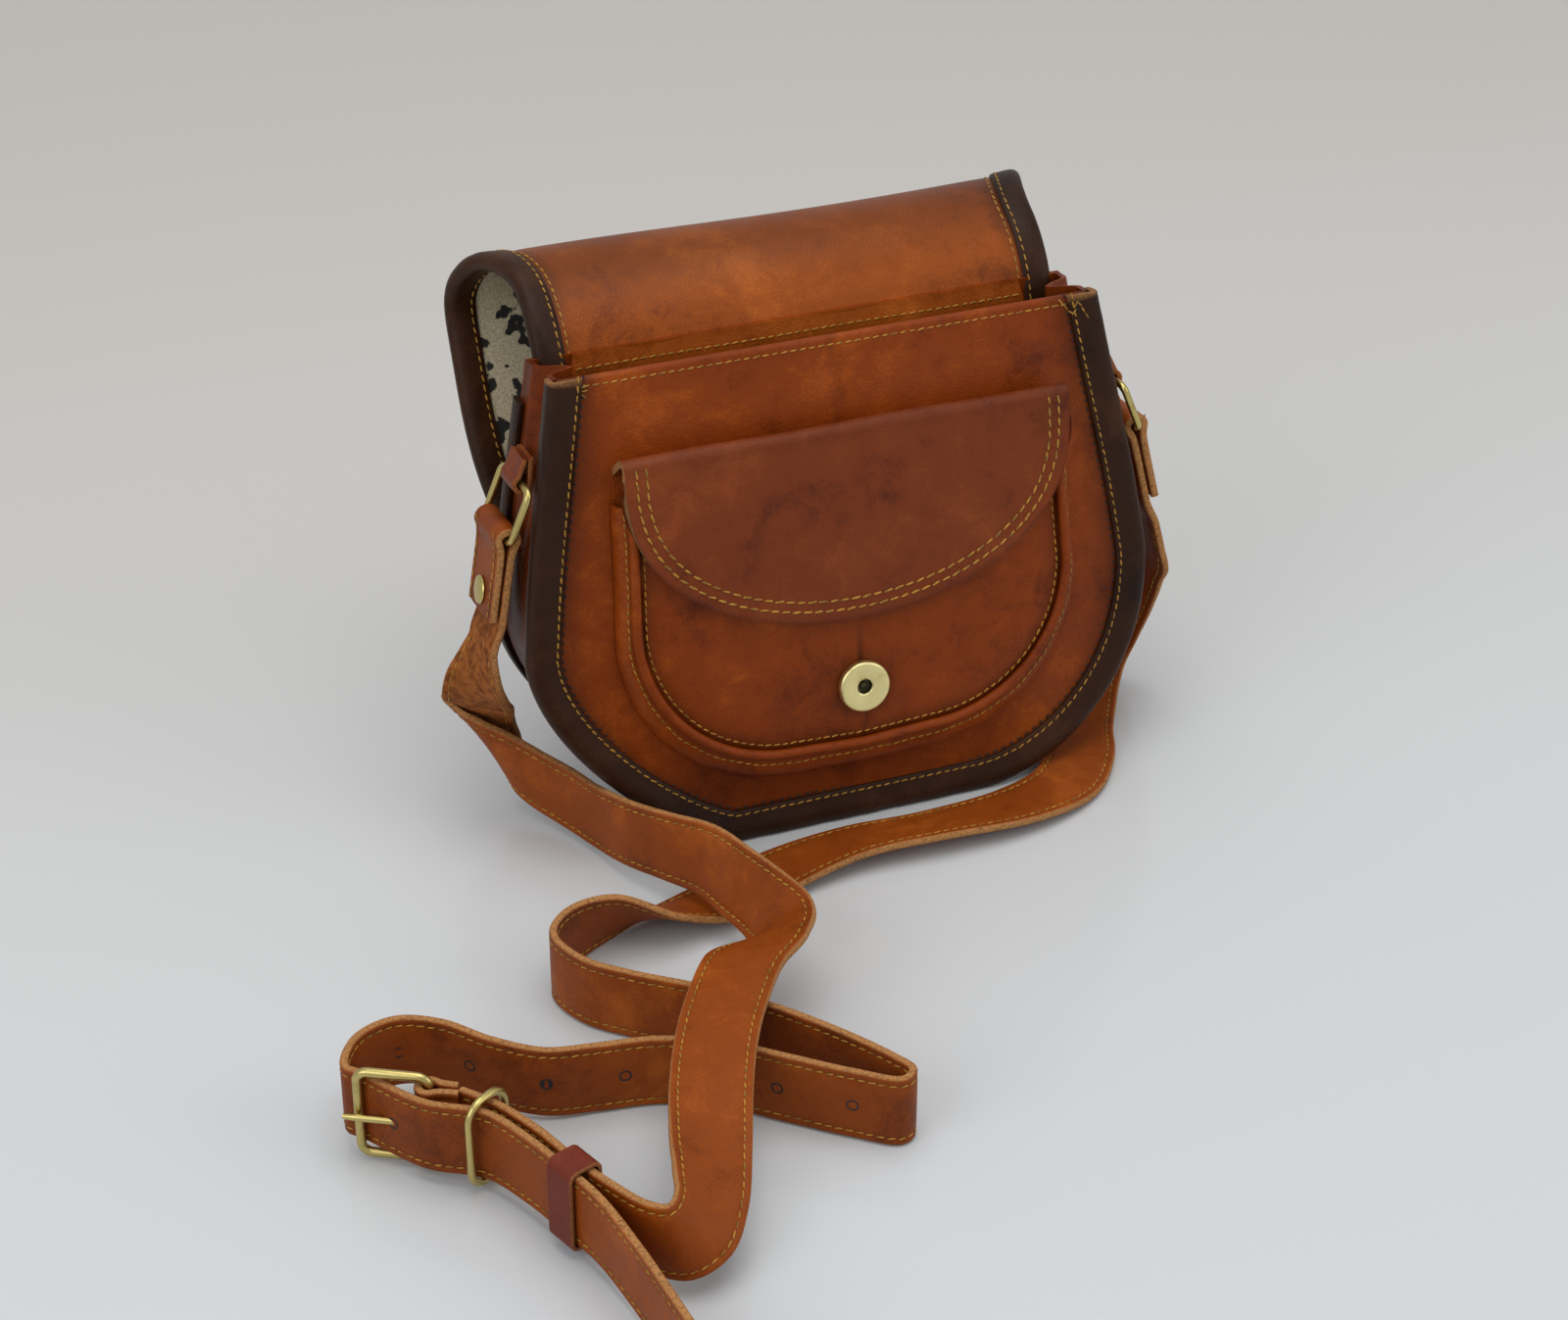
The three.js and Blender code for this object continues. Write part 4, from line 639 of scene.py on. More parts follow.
# Prong: a brass wire with one end bent to an eye round the heel bar, its tip laid over the far bar.
# It lifts on the heel bar, so it rides on its own body.
PRONG_EYE = 3.1
PRONG_WIRE = 1.2
PRONG_TIP = -26.2


def carried(path, normal, section):
    """A closed section of out and up distances carried along a path: out is path way times normal. The normal
    is one way for the whole path, or one for each of its points."""
    t = unit(np.gradient(path, axis=0))
    n = unit(normal - np.sum(normal * t, axis=1, keepdims=True) * t)
    out = np.cross(t, n)
    section = np.asarray(section, float)
    if section.ndim == 2:
        section = np.broadcast_to(section, (len(path), *section.shape))
    points = path[:, None] + out[:, None] * section[..., 0, None] + n[:, None] * section[..., 1, None]
    quads, ends = tube_faces(len(path), section.shape[1])
    return points.reshape(-1, 3), quads, ends


def round_section(radius, sides=12):
    """Points of a circle, as out and up distances."""
    a = np.linspace(0, 2 * math.pi, sides, endpoint=False)
    return np.column_stack([radius * np.cos(a), radius * np.sin(a)])


bend = np.linspace(math.radians(200), math.radians(-95), 26)
eye = np.column_stack([PRONG_EYE * np.cos(bend), PRONG_EYE * np.sin(bend)])[::-1]
rod = np.column_stack([np.linspace(-1.5, PRONG_TIP, 22), np.full(22, PRONG_EYE - 0.1)])
prong_line = np.concatenate([eye[:17], rod[1:]])
prong_path = spaced(HEEL + BUCKLE_WAY * prong_line[:, :1] + BUCKLE_NEAR * prong_line[:, 1:], 0.7)
prong_size = 1 - 0.35 * smooth(np.arange(len(prong_path)), len(prong_path) - 8, len(prong_path))
buckle_prong = piece(
    "buckle_prong_wire",
    *carried(prong_path, UP, round_section(PRONG_WIRE)[None] * prong_size[:, None, None]),
    brushed_brass,
)
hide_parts("buckle_prong")
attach(buckle_prong, "prong")

# Folded end in the buckle: the first strap's end turned round the heel bar, so that the buckle hangs in it.
# It is the same tan leather with the same cut edges, laid back on itself.
FOLD_TURN = 3.3
FOLD_LAYER = 1.75
FOLD_TAIL = 9.2


def folded_band(tail_out, tail_in, turn, layer, merge=None):
    """The middle line of a band folded round a bar at the origin: in along one side of the bar, half round it
    and back along the other side, as distances along and off. With merge, the first side eases to the
    middle."""
    arc = np.linspace(math.pi / 2, 3 * math.pi / 2, 24)
    start = np.linspace(tail_out, turn * 0.9, 40)
    back = np.linspace(turn * 0.9, tail_in, 30)
    first = layer * (1 - smooth(start, *merge)) if merge else layer
    first = first + (turn - layer) * np.exp(-start / 2.2)
    last = -layer - (turn - layer) * np.exp(-back / 2.2)
    return np.concatenate([
        np.column_stack([start, first]),
        np.column_stack([turn * np.cos(arc), turn * np.sin(arc)]),
        np.column_stack([back, last]),
    ])


def strap_band(path, way, width, thick, stitch_in=None):
    """A strap's section along a path, with one edge way for all of it: the grain side is tangent
    times way."""
    way = np.tile(way, (len(path), 1))
    grain = np.cross(unit(np.gradient(path, axis=0)), way)
    return strap_ribbon(path, way, grain, width, thick, stitch_in)


fold_line = folded_band(FOLD_TAIL, FOLD_TAIL - 1.0, FOLD_TURN, FOLD_LAYER)
fold_path = spaced(HEEL + BUCKLE_WAY * fold_line[:, :1] + BUCKLE_NEAR * fold_line[:, 1:], 0.6)
shape, quads, ends, raw, face = strap_band(fold_path, UP, STRAP_WIDTH, STRAP_THICK, STRAP_STITCH_IN)
buckle_fold = piece("buckle_fold_leather", shape, quads, ends, tan_leather)
mark(buckle_fold, "raw", raw)
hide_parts("buckle_fold")
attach(buckle_fold, "bag")

# Keepers: beside the buckle a bent brass wire ring round both layers of strap, and further on a loop of
# red-brown leather with its ends butted and sewn. The leather keeper slides along the strap.
KEEPER_RING = {"low": -8.2, "high": 7.4, "half": 14.8, "corner": 6.0, "radius": 1.3}
KEEPER_RING_MIDDLE = np.array([-174.5, -165.5, 17.5])
KEEPER_RING_WAY = unit([0.53, -0.85, 0])
keeper_ring = piece(
    "keeper_ring_wire",
    *wire_loop(**KEEPER_RING, along=-np.cross(KEEPER_RING_WAY, UP), up=UP, middle=KEEPER_RING_MIDDLE),
    brushed_brass,
)
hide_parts("keeper_ring")
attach(keeper_ring, "bag")

KEEPER_LIT = (126, 56, 36)
KEEPER_MID = (106, 43, 28)
KEEPER_DARK = (80, 32, 20)
KEEPER_WIDE = 11.0
KEEPER_THICK = 1.4
KEEPER_HALF_NEAR = 4.6
KEEPER_HALF_HIGH = 13.1
KEEPER_CORNER = 2.4
KEEPER_MIDDLE = np.array([-159.4, -201.2, 17.5])
KEEPER_WAY = unit([0.34, -0.94, 0])
KEEPER_NEAR = np.cross(KEEPER_WAY, UP)
red_keeper_leather = leather("red_keeper_leather", KEEPER_LIT, KEEPER_MID, KEEPER_DARK, gloss=0.46)
near_half = KEEPER_HALF_NEAR + KEEPER_THICK / 2
loop = round_rectangle(-near_half, near_half, KEEPER_HALF_HIGH + KEEPER_THICK / 2, KEEPER_CORNER)
across, off = strap_section(KEEPER_WIDE, KEEPER_THICK)
shape = (
    KEEPER_MIDDLE
    + KEEPER_NEAR * (loop[:, 0, None] + loop[:, 2, None] * off)[..., None]
    + UP * (loop[:, 1, None] + loop[:, 3, None] * off)[..., None]
    + KEEPER_WAY * np.broadcast_to(across, (len(loop), len(across)))[..., None]
)
quads, ends = tube_faces(len(loop), len(across), closed=True)
strap_keeper = piece("strap_keeper_leather", shape, quads, ends, red_keeper_leather)
keeper_raw = 0.5 * smooth(np.abs(across), KEEPER_WIDE / 2 - 0.4, KEEPER_WIDE / 2 - 0.1)
mark(strap_keeper, "raw", np.broadcast_to(keeper_raw, shape.shape[:2]))
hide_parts("strap_keeper")
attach(strap_keeper, "keeper")

# Floor and light: a pale glossy table top that goes on out of sight, a broad soft box above the bag and a
# little before it, weaker ones on the left and right, and an even pale surround.
# painted light falloff: the table top is one surface, painted pale and cool near the camera and darker and
# warmer far off
FLOOR_NEAR = (205, 209, 212)
FLOOR_FAR = (198, 193, 186)
FLOOR_HALF = 6000.0
FLOOR_CELLS = 12
FLOOR_DOWN = 0.2
FLOOR_FADE = (-0.35, 0.75)
SURROUND = (0.93, 0.94, 0.96, 1)
SURROUND_STRENGTH = 0.57
floor_material, tree, shader, place = new_material("pale_table")
away = add_node(tree, "ShaderNodeSeparateXYZ", Vector=place).outputs["Y"]
fade = add_node(tree, "ShaderNodeMapRange", Value=away, From_Min=FLOOR_FADE[0], From_Max=FLOOR_FADE[1])
floor_tone = ramp(tree, fade.outputs[0], (0.0, ink(FLOOR_NEAR)), (1.0, ink(FLOOR_FAR)))
plug_all(tree, shader, Base_Color=floor_tone, Roughness=0.16, Specular_IOR_Level=0.3)
edge = np.linspace(-FLOOR_HALF, FLOOR_HALF, FLOOR_CELLS + 1)
x, y = np.meshgrid(edge, edge + FLOOR_HALF / 2, indexing="ij")
ground = np.stack([x, y, np.full_like(x, -FLOOR_DOWN)], axis=-1)
number = np.arange(x.size).reshape(x.shape)
cells = np.stack([number[:-1, :-1], number[1:, :-1], number[1:, 1:], number[:-1, 1:]], axis=-1)
floor_mesh = bpy.data.meshes.new("table_top")
floor_mesh.from_pydata((ground.reshape(-1, 3) / 1000).tolist(), [], cells.reshape(-1, 4).tolist())
floor_mesh.materials.append(floor_material)
table_top = bpy.data.objects.new("table_top", floor_mesh)
bpy.context.scene.collection.objects.link(table_top)

surround = bpy.data.worlds.new("pale_surround")
surround.use_nodes = True
tree = surround.node_tree
plug_all(tree, tree.nodes["Background"], Color=SURROUND, Strength=SURROUND_STRENGTH)
bpy.context.scene.world = surround


def soft_box(name, place, aim, size, watts, colour):
    """A rectangular area lamp that faces the aim."""
    lamp = bpy.data.lights.new(name, "AREA")
    lamp.shape = "RECTANGLE"
    lamp.size, lamp.size_y = size
    lamp.energy = watts
    lamp.color = colour
    made = bpy.data.objects.new(name, lamp)
    made.location = place
    forward = unit(np.asarray(aim, float) - np.asarray(place, float))
    side, rise = basis(-forward)
    turn = np.column_stack([side, rise, -forward])
    made.rotation_euler = Matrix(turn.tolist()).to_euler()
    bpy.context.scene.collection.objects.link(made)
    return made


LIGHT_AIM = (0, 0, 0.08)
soft_box("soft_box_above", (0.0, -0.15, 1.75), LIGHT_AIM, (1.6, 1.2), 14.0, (1, 0.97, 0.93))
soft_box("soft_box_left", (-1.5, -0.7, 1.1), LIGHT_AIM, (1.2, 1.2), 9, (0.95, 0.97, 1))
soft_box("soft_box_right", (1.3, -1.0, 0.9), LIGHT_AIM, (1.0, 1.0), 5, (1, 0.98, 0.95))

# Front panel: one D of cognac leather, its top edge turned in and sewn as a hem, its sides and bottom under
# the binding. It bellies out a little, and carries a soft upright crease in the middle.
COGNAC_LIT = (160, 76, 16)
COGNAC_MID = (128, 54, 10)
COGNAC_DARK = (92, 35, 6)
FRONT_HEIGHT = 172.0
BACK_HEIGHT = 165.0
FRONT_LEAN = math.radians(10)
BACK_LEAN = math.radians(3.507)
BASE_HALF = 24.0
WIDEST_HALF = 109.5
WIDEST_UP = 78.0
MOUTH_DRAW = 15.5
FLAT_HALF = 44.0
FOOT_UP = 2.2
PANEL_THICK = 2.0
HEM_DEEP = 12.0
HEM_ROLL = 1.75
HEM_LAYER = 1.3
FRONT_BELLY = 2.4
CREASE_RISE = (120, 146)
cognac = leather("cognac_leather", COGNAC_LIT, COGNAC_MID, COGNAC_DARK, gloss=0.4)
front_way = np.array([0, -math.cos(FRONT_LEAN), math.sin(FRONT_LEAN)])


def on_front(u, v, off):
    """A place on the front: u across, v up the leaning panel, off out of its face."""
    u, v, off = np.broadcast_arrays(*(np.asarray(k, float) for k in (u, v, off)))
    y = -BASE_HALF + v * math.sin(FRONT_LEAN) - off * math.cos(FRONT_LEAN)
    return np.stack([u, y, v * math.cos(FRONT_LEAN) + off * math.sin(FRONT_LEAN)], axis=-1)


def on_back(u, v, off):
    """A place on the back: u across, v up the panel, off out of its face, away from the bag."""
    u, v, off = np.broadcast_arrays(*(np.asarray(k, float) for k in (u, v, off)))
    y = BASE_HALF + v * math.sin(BACK_LEAN) + off * math.cos(BACK_LEAN)
    return np.stack([u, y, v * math.cos(BACK_LEAN) - off * math.sin(BACK_LEAN)], axis=-1)


def half_width(v):
    """Half the panel's width above its widest place, drawn in by a cubic of the height."""
    k = np.clip((np.asarray(v, float) - WIDEST_UP) / (FRONT_HEIGHT - WIDEST_UP), 0, None)
    return WIDEST_HALF - MOUTH_DRAW * k * (0.62 + 0.76 * k - 0.38 * k * k)


def panel_edge(height, count):
    """The D's edge from its left top corner round the bottom to the right: on each side the half width down
    to the widest place, then one cubic Bezier corner to the flat bottom. The left corner is pressed in."""
    t = np.linspace(0, 1, 120)[1:]
    first, second, third, fourth = (1 - t) ** 3, 3 * (1 - t) ** 2 * t, 3 * (1 - t) * t**2, t**3
    v = np.linspace(height, WIDEST_UP, 80)
    sides = []
    for sign, bend, toe in ((-1, 43, 13), (1, 30, 30)):
        x = WIDEST_HALF * (first + second) + third * (FLAT_HALF + toe) + fourth * FLAT_HALF
        low = WIDEST_UP * first + second * bend + (third + fourth) * FOOT_UP
        sides.append(
            np.column_stack([sign * np.concatenate([half_width(v), x]), np.concatenate([v, low])])
        )
    line = np.concatenate([sides[0], sides[1][::-1]])
    line = spaced(np.column_stack([line, np.zeros(len(line))]), count=count)[:, :2]
    tangent = unit(np.gradient(line, axis=0))
    normal = np.column_stack([tangent[:, 1], -tangent[:, 0]])
    normal[0] = (-1, 0)
    normal[-1] = (1, 0)
    return line, normal


def sides_at(v, height, inset=0.0):
    """Left and right ends of the panel at each height, less an inset."""
    line, normal = panel_edge(height, 800)
    line = line - normal * inset
    low = int(np.argmin(line[:, 1] + 0.0005 * np.abs(line[:, 0])))
    left = np.interp(v, line[: low + 1, 1][::-1], line[: low + 1, 0][::-1])
    right = np.interp(v, line[low:, 1], line[low:, 0])
    return left, right


def between(left, right, spread):
    """Rows of places from each left end to each right end, spread from -1 to 1."""
    return left[:, None] * (1 - spread[None]) / 2 + right[:, None] * (1 + spread[None]) / 2


def grid_normals(grid, towards):
    """The cross product of a grid's two differences, made one long, and turned so that the middle one of all
    points towards a way."""
    normal = unit(np.cross(np.gradient(grid, axis=1), np.gradient(grid, axis=0)))
    return normal * np.sign(normal[normal.shape[0] // 2, normal.shape[1] // 2] @ towards)


def slab(top, bottom):
    """A sheet with thickness: two grids and the four strips that join their edges. Parts are 0 for the first
    grid, 1 for the second and 2 for the edge."""
    rows, columns = top.shape[:2]
    number = np.arange(rows * columns).reshape(rows, columns)
    a, b, c, d = number[:-1, :-1], number[:-1, 1:], number[1:, 1:], number[1:, :-1]
    face = np.stack([a, b, c, d], axis=-1).reshape(-1, 4)
    under = face[:, ::-1] + rows * columns
    rim = np.concatenate([number[0, :], number[1:, -1], number[-1, -2::-1], number[-2::-1, 0]])
    strip = np.stack([rim[1:], rim[:-1], rim[:-1] + rows * columns, rim[1:] + rows * columns], axis=-1)
    quads = np.concatenate([face, under, strip])
    parts = np.concatenate([np.zeros(len(face)), np.ones(len(under)), np.full(len(strip), 2)])
    return np.concatenate([top.reshape(-1, 3), bottom.reshape(-1, 3)]), quads, [], parts


def both(values):
    """The marks of a sheet's first grid, given to both its grids."""
    return np.concatenate([np.ravel(values), np.ravel(values)])


def from_crease(u, v):
    """Distance across from the middle crease, which wanders as a sine of the height."""
    return u + 1.5 * np.sin(v / 9)


def front_belly(u, v):
    """How far the front stands out: nothing under the binding and at the hem, full in the middle, with slow
    waves, less the valley of the middle crease."""
    left, right = sides_at(v, FRONT_HEIGHT)
    reach = np.minimum(u - left, right - u)
    below = FRONT_HEIGHT - v
    lift = smooth(reach, 8, 32) * smooth(v, 11, 40) * smooth(below, 3, 26)
    wave = 0.55 * np.sin(u / 19 + 0.6) * np.sin(v / 21 + 1.1) * smooth(reach, 9, 20) * smooth(below, 5, 14)
    valley = 0.75 * np.exp(-((from_crease(u, v) / 1.5) ** 2)) * smooth(v, *CREASE_RISE) * smooth(below, 1, 9)
    return FRONT_BELLY * lift + wave - valley


rows = np.linspace(0, 1, 74) ** 1.5
v = FOOT_UP + (FRONT_HEIGHT - HEM_ROLL - FOOT_UP) * rows
spread = np.sin(np.linspace(-1, 1, 111) * math.pi / 2 * 0.86) / math.sin(math.pi / 2 * 0.86)
roll = np.linspace(0, math.pi, 12)[1:]
hem = np.linspace(FRONT_HEIGHT - 3, FRONT_HEIGHT - HEM_DEEP, 6)
v_all = np.concatenate([v, FRONT_HEIGHT - HEM_ROLL + HEM_ROLL * np.sin(roll), hem])
rolled_off = HEM_ROLL * np.cos(roll) - HEM_ROLL
off_all = np.concatenate([np.zeros_like(v), rolled_off, np.full_like(hem, -2 * HEM_ROLL)])
turned_in = np.concatenate([np.zeros_like(v), smooth(roll, 0, math.pi) * 3, np.full_like(hem, 3.0)])
left, right = sides_at(np.minimum(v_all, FRONT_HEIGHT), FRONT_HEIGHT)
u = between(left + turned_in, right - turned_in, spread)
v_grid = np.broadcast_to(v_all[:, None], u.shape)
outside = np.concatenate([np.ones_like(v), np.cos(roll / 2) ** 2, np.zeros_like(hem)])[:, None]
top = on_front(u, v_grid, off_all[:, None] + front_belly(u, v_grid) * outside)
under = top - grid_normals(top, front_way) * HEM_LAYER
front_panel = piece("front_panel_leather", *slab(top, under)[:3], cognac)
reach = np.minimum(u - left[:, None], right[:, None] - u)
crease = np.exp(-((from_crease(u, v_grid) / 1.3) ** 2)) * smooth(v_grid, *CREASE_RISE)
# painted shade: darker beside the binding, in the middle crease and low down by the floor
shadowed = 0.55 * (1 - smooth(reach, 8, 20)) + 0.3 * crease + 0.28 * (1 - smooth(v_grid, 8, 40))
mark(front_panel, "painted_shade", both(np.clip(shadowed, 0, 0.8)))
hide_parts("front_panel", "front_hem")
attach(front_panel, "bag")

# one row of mustard stitches holds the hem, with a crossed tack at its left end
HEM_STITCH = {"pitch": 3.2, "length": 2.3, "wide": 0.58, "high": 0.5}
HEM_STITCH_DOWN = 3.0
TACK_STITCH = {"pitch": 2.0, "length": 2.4, "wide": 0.45, "high": 0.4, "slant": 0.0}
TACK_U = -86.5
TACK_V = FRONT_HEIGHT - 4.6
hem_line = on_front(np.linspace(-87, 84, 120), FRONT_HEIGHT - HEM_STITCH_DOWN, 0.06)
hem_rows = [stitches(hem_line, front_way, **HEM_STITCH)]
for du, dv in ((3.2, 3.0), (3.2, -3.0), (4.2, 0.2), (0.2, 3.6)):
    line = on_front(TACK_U + np.array([-du, du]) / 2, TACK_V + np.array([-dv, dv]) / 2, 0.15)
    hem_rows.append(stitches(spaced(line, count=3), front_way, **TACK_STITCH))
hem_thread = piece("front_hem_thread", *joined(hem_rows), mustard_thread)
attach(hem_thread, "bag")

# Back panel: the same D a little lower, of plain cognac leather with a slight belly. Its sides and bottom are
# under the binding, and the main flap is sewn over its top edge.
BACK_BELLY = 2.2
rows = np.linspace(0, 1, 60) ** 1.5
v = FOOT_UP + (BACK_HEIGHT - FOOT_UP) * rows
left, right = sides_at(v, BACK_HEIGHT)
u = between(left, right, spread)
v_grid = np.broadcast_to(v[:, None], u.shape)
reach = np.minimum(u - left[:, None], right[:, None] - u)
below = BACK_HEIGHT - v_grid
lift = smooth(reach, 8, 34) * smooth(v_grid, 11, 44) * smooth(below, 8, 40)
wave = 0.5 * np.sin(u / 23 + 2) * np.sin(v_grid / 27) * smooth(reach, 8, 20) * smooth(below, 8, 20)
off = BACK_BELLY * lift + wave
top = on_back(u, v_grid, off)
back_panel = piece("back_panel_leather", *slab(top, on_back(u, v_grid, off - PANEL_THICK))[:3], cognac)
# painted shade: darker beside the binding
mark(back_panel, "painted_shade", both(np.clip(0.5 * (1 - smooth(reach, 8, 20)), 0, 1)))
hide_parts("back_panel")
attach(back_panel, "bag")

# Gusset: a leather strip sewn between the two panels round the sides and bottom. It stands on its belly and
# is drawn in at the mouth in soft upright pleats.
GUSSET_THICK = 1.8
GUSSET_PINCH = 10.0
PINCH_RISE = (130, 168)
SEAM_IN = 2.3
SEAM_LIP = 5.5
EDGE_COUNT = 320
front_edge, edge_way = panel_edge(FRONT_HEIGHT, EDGE_COUNT)
back_edge, back_edge_way = panel_edge(BACK_HEIGHT, EDGE_COUNT)
across = np.concatenate([np.linspace(0, 0.3, 9), np.linspace(0.3, 0.7, 15)[1:-1], np.linspace(0.7, 1, 9)])


def gusset_layer(inset):
    """From the front seam to the back seam in straight lines, then drawn in towards the middle of the mouth,
    pleated there, and let down to the floor between the seams along the flat bottom."""
    front_lane = front_edge - edge_way * inset
    back_lane = back_edge - edge_way * inset
    a = on_front(front_lane[:, 0], front_lane[:, 1], -SEAM_IN)
    b = on_back(back_lane[:, 0], back_lane[:, 1], -SEAM_IN)
    depth = np.linalg.norm(b - a, axis=1)[:, None]
    lip = SEAM_LIP / depth
    f = across[None, :]
    grid = a[:, None] * (1 - f[..., None]) + b[:, None] * f[..., None]
    inner = smooth(f, lip, 0.5) * smooth(1 - f, lip, 0.5)
    drawn = GUSSET_PINCH * smooth(front_edge[:, 1], *PINCH_RISE)[:, None] * inner
    pleat = 1.1 * np.sin(f * 26) * smooth(front_edge[:, 1], 96, 160)[:, None] * smooth(f, lip, 2.4 * lip)
    pleat = pleat * smooth(1 - f, lip, 2.4 * lip)
    slack = 1.4 * np.sin(front_edge[:, 1] / 13)[:, None] * inner * smooth(front_edge[:, 1], 40, 80)[:, None]
    out = np.stack([edge_way[:, 0], np.zeros(EDGE_COUNT), edge_way[:, 1]], axis=1)
    grid = grid - out[:, None] * (drawn - pleat - slack)[..., None]
    rest = np.clip(1 - np.clip(np.abs(front_edge[:, 0]) - FLAT_HALF, 0, None) / 14, 0, 1)[:, None]
    sag = FOOT_UP * rest * smooth(f, lip * 0.9, 2 * lip) * smooth(1 - f, lip * 0.9, 2 * lip)
    grid[..., 2] = np.maximum(grid[..., 2] - sag, inset)
    return grid


gusset = piece("gusset_leather", *slab(gusset_layer(0.0), gusset_layer(GUSSET_THICK))[:3], cognac)
# painted shade: darker by both seams under the bindings, and a little darker all over
near_seam = np.minimum(across, 1 - across)[None, :] * np.ones((EDGE_COUNT, 1))
mark(gusset, "painted_shade", both(0.45 * (1 - smooth(near_seam, 0.05, 0.25)) + 0.2))
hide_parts("gusset")
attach(gusset, "bag")

# Seam bindings: dark brown strips folded over the edge of each panel and on to the gusset, so that the seam
# is a soft roll, with mustard stitches by the inner edge and the seam's needle holes beside it. The holes are
# small dark beads of painted shade.
DARK_LIT = (66, 38, 20)
DARK_MID = (48, 26, 13)
DARK_DARK = (30, 16, 8)
NEEDLE_HOLE_SHADE = (44, 24, 16)
dark_leather = leather("dark_binding_leather", DARK_LIT, DARK_MID, DARK_DARK, gloss=0.42, grain=0.7)
BINDING_SECTION = np.array([
    (-9.0, 0.1), (-9.05, 0.75), (-8.7, 1.2), (-7.8, 1.45), (-6.6, 1.62), (-5.0, 2.0), (-3.2, 2.45),
    (-1.4, 2.65), (0.2, 2.45), (1.4, 1.85), (2.2, 0.8), (2.45, -0.6), (2.4, -2.4), (2.2, -4.2), (1.8, -5.2),
    (1.0, -5.4), (0.3, -5.2), (0.3, -2.5), (0.25, 0.0), (-3.0, 0.1),
])
SEAM_PITCH = 3.2
SEAM_STITCH_IN = 7.5
SEAM_STITCH_OFF = 1.52
SEAM_HOLE_IN = 9.7
SEAM_HOLE_OFF = 0.12
SEAM_HOLE = {"length": 1.7, "wide": 0.75, "high": 0.3}
END_TACK = {"pitch": 2.6, "length": 2.5, "wide": 0.55, "high": 0.5, "slant": 0.0}
BACK_BINDING_TOP = 152.6
BACK_ROW_IN = 10.4
BACK_ROW_OFF = 0.2


def binding_roll(line, normal, place):
    """The binding's section carried round a panel's edge, a little lumpy: out in the panel's plane, up out of
    its face."""
    o = BINDING_SECTION[None, :, 0]
    number = np.arange(len(line))[:, None]
    lump = 0.12 * np.sin(number * 0.37) + 0.08 * np.sin(number * 0.83)
    n = BINDING_SECTION[None, :, 1] + lump * smooth(o, -8, -3)
    grid = place(line[:, 0, None] + normal[:, 0, None] * o, line[:, 1, None] + normal[:, 1, None] * o, n)
    grid[..., 2] = np.maximum(grid[..., 2], 0)
    quads, ends = tube_faces(len(line), len(BINDING_SECTION))
    return grid, quads, ends


def seam_thread(line, normal, place, way, inset, off, **size):
    """Stitches beside a panel's edge, at an inset from it and a height off the panel."""
    lane = line - normal * inset
    return stitches(place(lane[:, 0], lane[:, 1], off), way, SEAM_PITCH, **size)


front_binding = piece("front_binding_leather", *binding_roll(front_edge, edge_way, on_front), dark_leather)
cut_ends = np.arange(EDGE_COUNT) % (EDGE_COUNT - 1) == 0
mark(front_binding, "raw", np.repeat(0.55 * cut_ends, len(BINDING_SECTION)))
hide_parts("front_binding")
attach(front_binding, "bag")
end_tack = on_front(np.array([82.0, 86.5, 88.0, 91.5]), FRONT_HEIGHT - np.array([1.2, 6.5, 1.6, 7.5]), 2.3)
front_binding_thread = piece(
    "front_binding_thread",
    *joined([
        seam_thread(front_edge, edge_way, on_front, front_way, SEAM_STITCH_IN, SEAM_STITCH_OFF),
        stitches(end_tack, front_way, **END_TACK),
    ]),
    mustard_thread,
)
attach(front_binding_thread, "bag")
# painted shade: the needle holes are dark beads standing in for the shade in each hole
needle_hole_shade = waxed_thread("painted_needle_hole_shade", NEEDLE_HOLE_SHADE)
front_seam_holes = piece(
    "front_seam_holes",
    *seam_thread(front_edge, edge_way, on_front, front_way, SEAM_HOLE_IN, SEAM_HOLE_OFF, **SEAM_HOLE),
    needle_hole_shade,
)
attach(front_seam_holes, "bag")

keep = back_edge[:, 1] < BACK_BINDING_TOP / math.cos(BACK_LEAN)
back_line = back_edge[keep]
back_normal = back_edge_way[keep]
back_way = np.array([0, math.cos(BACK_LEAN), -math.sin(BACK_LEAN)])
back_binding = piece("back_binding_leather", *binding_roll(back_line, back_normal, on_back), dark_leather)
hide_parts("back_binding")
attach(back_binding, "bag")
back_binding_thread = piece(
    "back_binding_thread",
    *joined([
        seam_thread(back_line, back_normal, on_back, back_way, SEAM_STITCH_IN, SEAM_STITCH_OFF),
        seam_thread(back_line, back_normal, on_back, back_way, BACK_ROW_IN, BACK_ROW_OFF),
    ]),
    mustard_thread,
)
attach(back_binding_thread, "bag")

# Back facing and linings: a leather strip inside the mouth under the flap, and plain woven cloth below it and
# behind the front panel, sewn in at the seams.
FACING_LOW = 145.0
FACING_IN = 15.5
FACING_FACE = 3.6
FACING_BACK = 2.2
FACING_STITCH_UP = 160.0
FACING_STITCH_OFF = 3.5
FACING_STITCH = {"pitch": 3.2, "length": 2.3, "wide": 0.6, "high": 0.55}
AMBER_LIT = (178, 94, 30)
AMBER_MID = (148, 72, 18)
AMBER_DARK = (108, 48, 11)
CLOTH_LIT = (92, 74, 60)
CLOTH_DARK = (56, 44, 36)
v = np.linspace(FACING_LOW, BACK_HEIGHT, 12)
u = np.linspace(-1, 1, 60)[None] * (half_width(v) - FACING_IN)[:, None]
v_grid = np.broadcast_to(v[:, None], u.shape)
amber = leather("amber_flap_leather", AMBER_LIT, AMBER_MID, AMBER_DARK, gloss=0.36)
